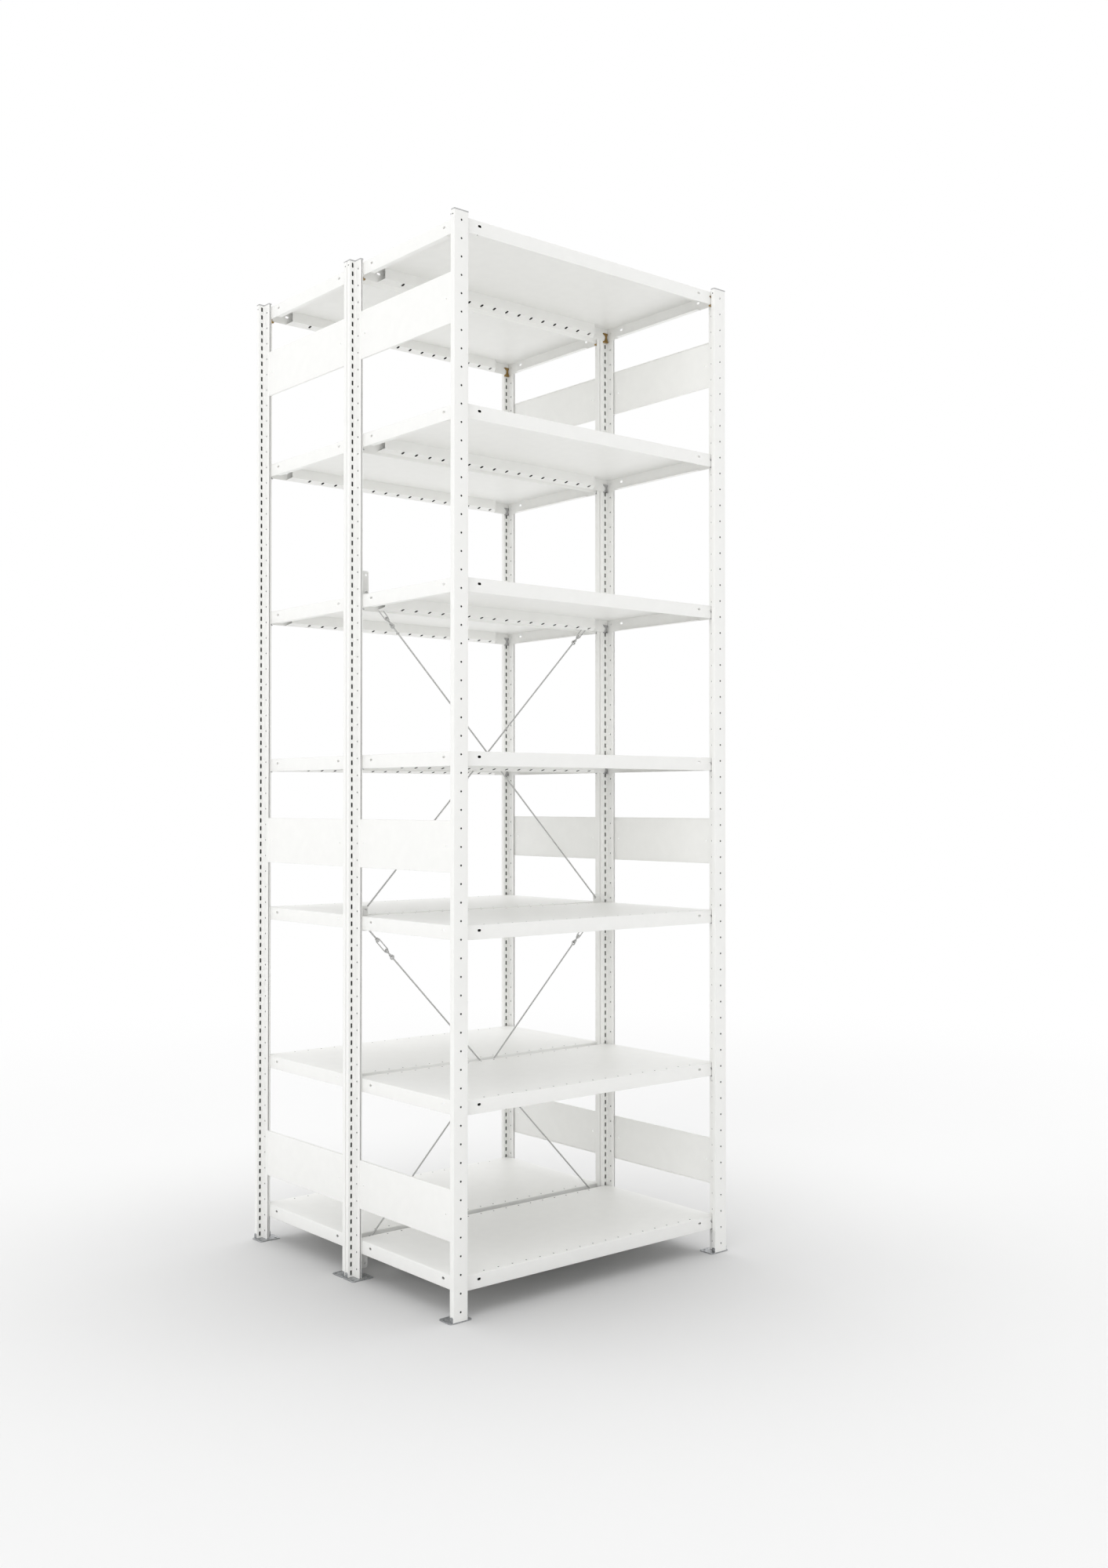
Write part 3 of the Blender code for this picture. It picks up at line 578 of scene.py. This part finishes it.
def clip_mesh(bay_side, seat, leg, curl, nib):
    """Bent sheet clip with a waisted shield, as seen inside the shelf's corner."""
    back = GAP
    front = back + CLIP_SHEET
    jaw = front + GAP + SHELF_SHEET + JAW_PLAY
    floor = seat - GAP
    lip = floor + CLIP_LIP
    under = floor - CLIP_SHEET
    top = seat + leg
    outer = [(back, top), (back, under), (jaw + CLIP_SHEET, under), (jaw + CLIP_SHEET, lip)]
    inner = [(jaw, lip), (jaw, floor), (front, floor), (front, top)]
    body = plate("clip", filleted(outer, CLIP_BEND, 3) + filleted(inner, 0.0002, 2), CLIP_STRIP)
    body.transform(TO_SIDE)
    # The tongue rests on the lower end of the next slot and turns down behind the post's sheet
    rest = SLOT_PITCH - SLOT_HEIGHT / 2
    rise = rest + TONGUE_RISE
    behind = -POST_SHEET - GAP
    far = behind - CLIP_SHEET
    hook = [(front, rest), (front, rise), (far + TONGUE_CHAMFER, rise),
            (far, rise - TONGUE_CHAMFER), (far, rest - TONGUE_RISE), (behind, rest - TONGUE_RISE),
            (behind, rest)]
    tongue = plate("tongue", hook, SLOT_WIDTH - 2 * GAP)
    tongue.transform(TO_SIDE)
    pieces = [body, tongue]
    if nib:
        half = SLOT_WIDTH / 2 - GAP
        pieces.append(boxes("nib", [((-half, behind, under + GAP), (half, front, floor - GAP))]))
    height = top - under
    outline = [(bay_side * bay, under + share * height) for share, bay, _ in SHIELD_WIDTHS]
    outline += [(-bay_side * web, under + share * height)
                for share, _, web in reversed(SHIELD_WIDTHS)]
    shield = softened("shield", plate("shield", outline, CLIP_SHEET), 0.0005)
    shield.transform(moved(0, jaw + CLIP_SHEET / 2, 0) @ TO_WALL)
    # A little thinner than the strip, so that no faces of the two lie in one plane
    backing = plate("backing", outline, CLIP_SHEET - 0.0001)
    backing.transform(moved(0, back + CLIP_SHEET / 2, 0) @ TO_WALL)
    ends = sorted((bay_side * CURL_WIDTHS[0], -bay_side * CURL_WIDTHS[1]))
    loop = boxes("loop", [((ends[0], back + 0.0002, floor - curl), (ends[1], jaw + curl, floor))])
    pieces += [shield, backing, softened("loop", loop, 0.0009, 3)]
    return merged("clip", pieces)


def clip_set(name, bay_side, levels, clip):
    """Clips of one kind for the shelves of several levels, in the post's frame."""
    form = clip_mesh(bay_side, **clip)
    column = bay_side * SLOT_COLUMN
    return smooth(joined(name, [
        (form, moved(column, FLANGE_DEPTH, level - clip["seat"] - POST_BASE)) for level in levels]))


def cap_mesh():
    web = WEB_WIDTH / 2 + CAP_EDGE
    wide = FLANGE_WIDTH / 2 + CAP_EDGE
    right = [(wide, -CAP_EDGE), (wide, FLANGE_DEPTH + CAP_EDGE), (web, FLANGE_DEPTH + CAP_EDGE),
             (web, POST_DEPTH + CAP_EDGE)]
    outline = [(-wide, -CAP_EDGE), *right, *((-x, y) for x, y in reversed(right[1:]))]
    mesh = softened("cap", plate("cap", outline, CAP_HEIGHT), 0.0007, 3)
    mesh.transform(moved(0, 0, POST_TOP - POST_BASE + CAP_HEIGHT / 2))
    return smooth(mesh)


def foot_mesh(bay_side):
    """Foot plate with anchor slots, and ears that are screwed to the post's lips."""
    ends = sorted((bay_side * FOOT_REACH[0], -bay_side * FOOT_REACH[1]))
    anchors = [oval(side * ANCHOR_PLACE[0], ANCHOR_PLACE[1], *ANCHOR_SIZE) for side in BOTH_WAYS]
    outline = rounded((ends[0], 0), (ends[1], FOOT_DEPTH), 0.007, 6)
    base = softened("foot", plate("foot", outline, FOOT_SHEET, anchors), 0.0004)
    base.transform(moved(0, 0, FOOT_SHEET / 2))
    pieces = [base]
    ear = rounded(*EAR_CORNERS, 0.004)
    lip = FLANGE_WIDTH / 2 + GAP
    for side in BOTH_WAYS:
        flap = softened("ear", plate("ear", ear, EAR_SHEET), 0.0004)
        flap.transform(moved(side * (lip + EAR_SHEET / 2), 0, 0) @ TO_SIDE)
        head = lathe("screw", SCREW_HEAD)
        head.transform(moved(side * (lip + EAR_SHEET), *SCREW_PLACE)
                       @ Matrix.Rotation(side * math.pi / 2, 4, 'Y'))
        pieces += [flap, head]
    return smooth(merged("foot", pieces))


def build_posts():
    post = post_mesh()
    cap = cap_mesh()
    feet = {bay_side: foot_mesh(bay_side) for bay_side in BOTH_WAYS}
    clips = {bay_side: clip_set("clips", bay_side, SHELF_HEIGHTS[:-1], LOWER_CLIP)
             for bay_side in BOTH_WAYS}
    brasses = {bay_side: clip_set("brass_clip", bay_side, SHELF_HEIGHTS[-1:], TOP_CLIP)
               for bay_side in BOTH_WAYS}
    down = moved(0, 0, -POST_BASE)
    for rack_name, rack in RACKS:
        for side_name, side in SIDES:
            for face in BOTH_WAYS:
                node = f"{rack_name}_{side_name}_{'outer' if face == rack else 'inner'}"
                whole = [node + "_post"]
                y = rack * RACK_Y + face * RACK_DEPTH / 2
                at = moved(side * BAY_WIDTH / 2, y, POST_BASE) @ turned_round(face > 0)
                bay_side = side * face
                add(node + "_post_sheet", post, post_paint, "frame", whole, at)
                add(node + "_cap", cap, cap_plastic, "frame", whole, at)
                add(node + "_clips", clips[bay_side], clip_zinc, "frame", whole, at)
                add(node + "_top_clip", brasses[bay_side], clip_brass, "frame", whole,
                    at)
                add(node + "_foot_plate", feet[bay_side], foot_zinc, "frame", [node + "_foot"],
                    down @ at)


# Shelves

# How far a cutter reaches below the tray
BELOW = -0.002
SHELF_BEND = 0.0018
# Rows along X, in steps of HOLE_PITCH: slots in the hem's floor and round holes in the top
HEM_SLOTS = range(-7, 9)
HEM_SLOT_SIZE = (0.0078, 0.014)
HEM_SLOT_IN = 0.016
ROW_HOLES = range(-8, 9)
ROW_HOLE_IN = 0.015
# Small openings in the flanges near each corner: width, height and distance from the corner
CORNER_OPENINGS = (("window", 0.012, 0.007, 0.070), ("spy", 0.005, 0.0045, 0.020))
OPENING_DOWN = 0.015
# Seams at the upright corners, where the front and back flanges meet the side flanges
SEAM_INSETS = (0.0022, 0.0017)
SEAM_OVER = 0.001
SEAM_DOWN = 0.004


def shelf_mesh():
    """Folded tray with hollow hems, holes in its top and slots in the rear hem's floor."""
    x, y = SHELF_WIDTH / 2, SHELF_DEPTH / 2
    thin = SHELF_SHEET
    under = SHELF_HEIGHT - thin
    inner_y = y - HEM_DEPTH
    start = y - thin / 2
    fall = HEM_RISE / (start - inner_y)
    floor = thin * math.hypot(1, fall)
    body = boxes("shelf", [((-x, -y, 0), (x, y, SHELF_HEIGHT))])
    body.materials.append(shelf_paint)
    body = softened("shelf", body, SHELF_BEND, 4)
    lip = x - thin - SIDE_LIP
    opening = boxes("opening", [((-lip, -inner_y, BELOW), (lip, inner_y, under))])
    side_room = boxes("side_room", [((-x + thin, -inner_y, thin), (x - thin, inner_y, under))])
    hem = [(y - thin, thin / 2 * fall + floor), (y - thin, under), (inner_y + thin, under),
           (inner_y + thin, (start - inner_y - thin) * fall + floor)]
    wedge = [(start - BELOW, BELOW * fall), (inner_y + BELOW, (start - inner_y - BELOW) * fall),
             (inner_y + BELOW, BELOW), (start - BELOW, BELOW)]
    mitre = [(x - thin, 0.0), (x - HEM_OUTER_END, 0.0), (x - HEM_END, -HEM_DEPTH + thin),
             (x - HEM_END, -SIDE_NOTCH), (x - thin, -SIDE_NOTCH)]
    hollows, slants, reliefs = [], [], []
    for back in BOTH_WAYS:
        for pieces, name, outline, length in (
                (hollows, "hollow", hem, 2 * (x - HEM_OUTER_END)),
                (slants, "slope", wedge, 2 * (x - HEM_OUTER_END / 2))):
            piece = plate(name, outline, length)
            piece.transform(turned_round(back < 0) @ TO_SIDE)
            pieces.append(piece)
        for side in BOTH_WAYS:
            outline = [(side * px, back * (y - thin + py)) for px, py in mitre]
            corner = plate("corner", outline, under - BELOW)
            corner.transform(moved(0, 0, (under + BELOW) / 2))
            reliefs.append(corner)
    # Painted shade in the hems' hollows: near black all along the front one, dark along the rear
    # one with painted light at its open ends
    front_tunnel, rear_tunnel = hollows
    front_tunnel.materials.append(inside_painted_shade)
    rear_tunnel.materials.append(hem_painted_shade)
    slot = plate("slot", oval(0, 0, *HEM_SLOT_SIZE), 0.004)
    lean = Matrix.Rotation(-math.atan(fall), 4, 'X')
    slots = joined("slots", [
        (slot, moved(number * HOLE_PITCH, start - HEM_SLOT_IN, HEM_SLOT_IN * fall) @ lean)
        for number in HEM_SLOTS])
    slots.materials.append(hole_shade)
    rows = rods("rows", [(number * HOLE_PITCH, back * (y - ROW_HOLE_IN), under)
                         for number in ROW_HOLES for back in BOTH_WAYS],
                Z_AXIS, HOLE_DIAMETER / 2, THROUGH_SHEET, 12)
    rows.materials.append(hole_shade)
    height = SHELF_HEIGHT - OPENING_DOWN
    windows = []
    forms = [(plate(name, oval(0, 0, wide, high), THROUGH_SHEET), inset)
             for name, wide, high, inset in CORNER_OPENINGS]
    for back in BOTH_WAYS:
        for side in BOTH_WAYS:
            for form, inset in forms:
                windows.append((form, moved(side * (x - inset), back * y, height) @ TO_WALL))
                windows.append((form, moved(side * x, back * (y - inset), height) @ TO_SIDE))
    seams = []
    for side in BOTH_WAYS:
        for back in BOTH_WAYS:
            left, right = sorted(side * (x - inset) for inset in SEAM_INSETS)
            near, far = sorted((back * (y - thin - SEAM_OVER), back * (y + SEAM_OVER)))
            seams.append(((left, near, BELOW), (right, far, SHELF_HEIGHT - SEAM_DOWN)))
    return smooth(cut("shelf", body, [
        opening, side_room, front_tunnel, rear_tunnel, merged("slants", slants),
        merged("reliefs", reliefs), slots, rows, joined("windows", windows),
        boxes("seams", seams)]))


def build_shelves():
    shelf = shelf_mesh()
    for rack_name, rack in RACKS:
        for number, height in enumerate(SHELF_HEIGHTS, 1):
            node = f"{rack_name}_shelf_{number}"
            add(node + "_tray", shelf, shelf_paint, node, [node],
                moved(0, rack * RACK_Y, height))


# Side panels

PANEL_BEND = 0.0018


def panel_mesh():
    profile = [(PANEL_THICKNESS, PANEL_HEIGHT), (0, PANEL_HEIGHT), (0, 0), (PANEL_THICKNESS, 0)]
    length = RACK_DEPTH - 2 * PANEL_END
    mesh = sheet("panel", filleted(profile, PANEL_BEND, 4), length, PANEL_SHEET)
    mesh.transform(moved(-PANEL_THICKNESS / 2, length / 2, -PANEL_HEIGHT / 2) @ TO_WALL)
    reach = RACK_DEPTH / 2 - PANEL_HOLE_INSET
    holes = rods("holes", [(0, end * reach, 0) for end in BOTH_WAYS], X_AXIS,
                 HOLE_DIAMETER / 2, 0.02)
    return smooth(cut("panel", mesh, [holes]))


def build_panels():
    panel = panel_mesh()
    for rack_name, rack in RACKS:
        for side_name, side in SIDES:
            for band, height in PANEL_HEIGHTS.items():
                node = f"{rack_name}_{side_name}_{band}_side_panel"
                at = moved(side * BAY_WIDTH / 2, rack * RACK_Y, height) @ turned_round(side > 0)
                add(node + "_sheet", panel, panel_paint, "frame", [node], at)


# Cross bracing

# Reach of a brace plate from the post's axis, away from the bay and into it
BRACE_AWAY = 0.018
BRACE_INTO = FLANGE_WIDTH / 2 + 0.030
BRACE_MARGIN = 0.012
BRACE_CORNER = 0.006
BOLT_HOLE = 0.005
EYE_HOLE = 0.007
BOLT_DIAMETER = 0.004
BOLT_OVER = 0.004
WASHER_RADIUS = 0.0045
WASHER_SHEET = 0.0008
NUT_RADIUS = 0.0036
NUT_HEIGHT = 0.0028
THREAD_PITCH = 0.001
# Radius at a thread's root as a share of that at its crest
THREAD_ROOT = 0.84
# How far the hook's thread shows outside the turnbuckle, and how far the threads reach into it
THREAD_OUT = 0.012
THREAD_IN = 0.013
BOSS_BORE = 0.0030
BOSS_RADIUS = 0.0050
BOSS_LENGTH = 0.010
BOSS_CHAMFER = 0.001
# The turnbuckle's bars: their width and their distance from its axis
BAR_DIAMETER = 0.0036
BAR_OUT = 0.00625


def brace_plate_mesh():
    outline = rounded((-BRACE_AWAY, -HOLE_PITCH - BRACE_MARGIN), (BRACE_INTO, BRACE_MARGIN),
                      BRACE_CORNER, 6)
    holes = [oval(x, y, width, width) for x, y, width in (
        (0, 0, BOLT_HOLE), (EYE_OUT, 0, EYE_HOLE), (EYE_OUT, -HOLE_PITCH, EYE_HOLE))]
    mesh = softened("brace", plate("brace", outline, BRACE_PLATE, holes), 0.0003)
    mesh.transform(TO_WALL)
    return smooth(mesh)


def bolt_set_mesh():
    """Hexagon bolt and nut with washers, through both posts and the plate."""
    face = BRACE_PLATE / 2 + GAP + POST_SHEET + GAP
    pieces = [rods("shank", [(0, 0, 0)], Y_AXIS, BOLT_DIAMETER / 2, 2 * (face + BOLT_OVER), 16)]
    for side in BOTH_WAYS:
        washer = rods("washer", [(0, side * (face + WASHER_SHEET / 2), 0)], Y_AXIS,
                      WASHER_RADIUS, WASHER_SHEET, 24)
        nut = rods("nut", [(0, side * (face + WASHER_SHEET + NUT_HEIGHT / 2), 0)], Y_AXIS,
                   NUT_RADIUS, NUT_HEIGHT, 6)
        pieces += [softened("washer", washer, 0.0002), softened("nut", nut, 0.0003)]
    return smooth(merged("bolt_set", pieces))


def thread_mesh(start, end):
    """Threaded bar along Z: a ring of crest and root for each turn."""
    radius = TIE_DIAMETER / 2
    turns = round((end - start) / THREAD_PITCH)
    profile = [(0, start)]
    for turn in range(turns):
        z = start + (end - start) * turn / turns
        profile += [(radius * THREAD_ROOT, z), (radius, z + (end - start) / turns / 2)]
    profile += [(radius * THREAD_ROOT, end), (0, end)]
    return lathe("thread", profile, 14)


def hook_path(eye, towards, reach):
    """Middle line of a bar beside the plate that bends and goes through an eye in it."""
    bend = TIE_DIAMETER / 2 + GAP
    face = BRACE_PLATE / 2
    seat = eye + towards * EYE_PLAY
    steps = 8
    path = [(0, -TIE_OFFSET, eye + towards * reach),
            (0, -TIE_OFFSET, seat + towards * (bend + 0.002))]
    for step in range(steps + 1):
        angle = step / steps * math.pi / 2
        path.append((0, -face - bend * math.cos(angle),
                     seat + towards * bend * (1 - math.sin(angle))))
    path.append((0, face + 0.004, seat))
    return path


def ring_mesh(at, axis):
    """Ring of round wire on the tie's line, turned a quarter about the axis."""
    bm = bmesh.new()
    around, wire = 28, 12
    section = [Vector((RING_RADIUS + RING_WIRE / 2 * math.cos(k * math.tau / wire), 0,
                       RING_WIRE / 2 * math.sin(k * math.tau / wire))) for k in range(wire)]
    rows = []
    for step in range(around):
        turn = Matrix.Rotation(step * math.tau / around, 4, 'Z')
        rows.append([bm.verts.new(turn @ point) for point in section])
    for row, after in zip(rows, rows[1:] + rows[:1]):
        for k in range(wire):
            above = (k + 1) % wire
            bm.faces.new((row[k], after[k], after[above], row[above]))
    bmesh.ops.recalc_face_normals(bm, faces=bm.faces)
    mesh = from_bmesh("ring", bm)
    mesh.transform(moved(0, -TIE_OFFSET, at) @ Matrix.Rotation(math.pi / 2, 4, axis))
    return mesh


def turnbuckle_mesh():
    """Open turnbuckle: two turned bosses joined by two round bars."""
    half = BUCKLE_LENGTH / 2
    low = half - BOSS_LENGTH
    edge = BOSS_RADIUS - 0.0004
    profile = [(BOSS_BORE, low), (edge, low), (BOSS_RADIUS, low + BOSS_CHAMFER),
               (BOSS_RADIUS, half - BOSS_CHAMFER), (edge, half), (BOSS_BORE, half)]
    bm = bmesh.new()
    sides = 24
    for end in BOTH_WAYS:
        rings = [[bm.verts.new(point) for point in circle(radius, end * z, sides)]
                 for radius, z in profile]
        for lower, upper in zip(rings, rings[1:] + rings[:1]):
            for k in range(sides):
                after = (k + 1) % sides
                bm.faces.new((lower[k], lower[after], upper[after], upper[k]))
    bmesh.ops.recalc_face_normals(bm, faces=bm.faces)
    pieces = [from_bmesh("bosses", bm)]
    for side in BOTH_WAYS:
        ends = ((0.0045, half - 0.004), (BAR_OUT, half - 0.009))
        path = [(side * x, 0, -z) for x, z in ends] + [(side * x, 0, z) for x, z in reversed(ends)]
        pieces.append(tube("bar", path, BAR_DIAMETER))
    return smooth(merged("turnbuckle", pieces), 40)


def build_bracing():
    on_tie = moved(0, -TIE_OFFSET, 0)
    along = Vector((TIE_SPAN, 0, -TIE_DROP)).normalized()
    across = Vector(Y_AXIS)
    tie_turn = Matrix((across.cross(along), across, along)).transposed().to_4x4()
    brace = brace_plate_mesh()
    bolts = bolt_set_mesh()
    thread_start = BUCKLE_FROM_EYE - THREAD_OUT
    hook = smooth(joined("hook", [
        (tube("hook", hook_path(0, 1, thread_start), TIE_DIAMETER), STILL),
        (thread_mesh(thread_start, BUCKLE_FROM_EYE + THREAD_IN), on_tie)]), 60)
    screw = smooth(joined("screw", [
        (thread_mesh(BUCKLE_END - THREAD_IN, SCREW_RING_AT - RING_RADIUS - 0.001), on_tie),
        (ring_mesh(SCREW_RING_AT, 'Y'), STILL)]), 60)
    rod_reach = TIE_LENGTH - RING_AT - RING_RADIUS
    rod = smooth(merged("rod", [tube("rod", hook_path(TIE_LENGTH, -1, rod_reach), TIE_DIAMETER),
                                ring_mesh(RING_AT, 'X')]), 60)
    turnbuckle = turnbuckle_mesh()
    for band, height in BRACE_HEIGHTS.items():
        for side_name, side in SIDES:
            name = f"{band}_{side_name}"
            node = name + "_brace_plate"
            at = moved(side * BAY_WIDTH / 2, 0, height) @ turned_round(side > 0)
            add(node + "_sheet", brace, brace_zinc, "frame", [node], at)
            add(node + "_bolt", bolts, brace_zinc, "frame", [node], at)
            if band != "lower":
                tie = at @ moved(EYE_OUT, 0, -HOLE_PITCH) @ tie_turn
                add(name + "_tie_hook", hook, tie_zinc, "frame", [node], tie)
                add(name + "_tie_rod_bar", rod, tie_zinc, "frame", [name + "_tie_rod"],
                    tie)
                add(name + "_tie_screw_bar", screw, tie_zinc, "frame", [name + "_tie_screw"],
                    tie)
                add(name + "_turnbuckle_body", turnbuckle, tie_zinc, name + "_turnbuckle",
                    [name + "_turnbuckle"], tie @ moved(0, -TIE_OFFSET, BUCKLE_AT))


# Stage: floor, world, lights and camera

FLOOR_HALF = 40
FLOOR_CORNER = 30
FLOOR_SHEET = 0.002
FLOOR_TOP = -0.0002
FLOOR_FAR_COLOUR = (0.90, 0.90, 0.90)
# Colour of the painted shadow on the floor round the unit
FLOOR_PAINTED_SHADOW_COLOUR = (0.71, 0.71, 0.71)
# Distances from the unit's middle over which the painted shadow round the unit fades out, and then
# the floor fades to white
PAINTED_SHADOW_OVER = (0.55, 2.0)
FADE_OVER = (1.8, 6.0)
# The world's light is dimmed above the horizon on this side, which is the camera's: over these
# parts of the direction along it and of the height, down to this strength
DIM_SIDE = (-0.6, -0.8, 0.0)
DIM_OVER_SIDE = (-0.1, 0.5)
DIM_OVER_HEIGHT = (0.0, 0.35)
DIM_STRENGTH = 0.32
# Soft suns: name, strength, spread in degrees and the direction that each one comes from
LIGHTS = (("left_light", 0.95, 50, (-0.80, -0.50, 0.24)),
          ("top_light", 0.72, 90, (0, 0, 1)))
# The camera that the photograph's slot rows gave
CAMERA_LENS = 35.3265
CAMERA_PLACE = (-2.99012, -3.87182, 1.39620)
CAMERA_TILT = 90.7172
CAMERA_HEADING = -40.1593


def build_floor():
    """Round floor plate with a painted shadow round the unit, and white far from it."""
    corner = (FLOOR_HALF, FLOOR_HALF)
    outline = rounded((-FLOOR_HALF, -FLOOR_HALF), corner, FLOOR_CORNER, 16)
    mesh = plate("floor", outline, FLOOR_SHEET)
    floor = bpy.data.objects.new("floor", mesh)
    looks.objects.link(floor)
    floor.location = (0, 0, FLOOR_TOP - FLOOR_SHEET / 2)
    material, tree, shader, place = new_material("floor_look", roughness=0.9, metallic=0.0)
    shader.inputs["Specular IOR Level"].default_value = 0.0
    reach = tree.nodes.new("ShaderNodeVectorMath")
    reach.operation = 'LENGTH'
    tree.links.new(place, reach.inputs[0])
    distance = reach.outputs["Value"]
    # Painted shadow: the floor is darker towards the unit's middle
    near = remapped(tree, distance, PAINTED_SHADOW_OVER, (1.0, 0.0))
    painted_shadow = calculated(tree, 'POWER', near, 2.0)
    tree.links.new(ramp(tree, painted_shadow, 0.0, 1.0, (FLOOR_FAR_COLOUR, FLOOR_PAINTED_SHADOW_COLOUR)),
                   shader.inputs["Base Color"])
    glow = tree.nodes.new("ShaderNodeEmission")
    glow.inputs["Strength"].default_value = 1.0
    blend = tree.nodes.new("ShaderNodeMixShader")
    tree.links.new(remapped(tree, distance, FADE_OVER, eased=True), blend.inputs["Fac"])
    tree.links.new(shader.outputs["BSDF"], blend.inputs[1])
    tree.links.new(glow.outputs["Emission"], blend.inputs[2])
    tree.links.new(blend.outputs["Shader"], tree.nodes["Material Output"].inputs["Surface"])
    mesh.materials.append(material)


def build_world():
    """White surroundings that are dimmer above the horizon on one side."""
    world = bpy.data.worlds.new("studio")
    scene.world = world
    world.use_nodes = True
    tree = world.node_tree
    background = tree.nodes["Background"]
    background.inputs["Color"].default_value = (1, 1, 1, 1)
    direction = tree.nodes.new("ShaderNodeTexCoord").outputs["Generated"]
    facing = tree.nodes.new("ShaderNodeVectorMath")
    facing.operation = 'DOT_PRODUCT'
    facing.inputs[1].default_value = DIM_SIDE
    tree.links.new(direction, facing.inputs[0])
    height = tree.nodes.new("ShaderNodeSeparateXYZ")
    tree.links.new(direction, height.inputs["Vector"])
    both = calculated(tree, 'MULTIPLY',
                      remapped(tree, facing.outputs["Value"], DIM_OVER_SIDE, eased=True),
                      remapped(tree, height.outputs["Z"], DIM_OVER_HEIGHT, eased=True))
    tree.links.new(remapped(tree, both, target=(1.0, DIM_STRENGTH)), background.inputs["Strength"])


def build_lights():
    for name, strength, spread, towards in LIGHTS:
        lamp = bpy.data.lights.new(name, 'SUN')
        lamp.energy = strength
        lamp.angle = math.radians(spread)
        light = bpy.data.objects.new(name, lamp)
        looks.objects.link(light)
        light.rotation_euler = Vector(towards).to_track_quat('Z', 'Y').to_euler()


def build_camera():
    data = bpy.data.cameras.new("camera")
    data.sensor_width = 36
    data.lens = CAMERA_LENS
    data.clip_end = 200
    camera = bpy.data.objects.new("camera", data)
    looks.objects.link(camera)
    camera.location = CAMERA_PLACE
    camera.rotation_euler = (math.radians(CAMERA_TILT), 0, math.radians(CAMERA_HEADING))
    scene.camera = camera


build_posts()
build_shelves()
build_panels()
build_bracing()
build_floor()
build_world()
build_lights()
build_camera()
scene.view_settings.view_transform = 'Standard'
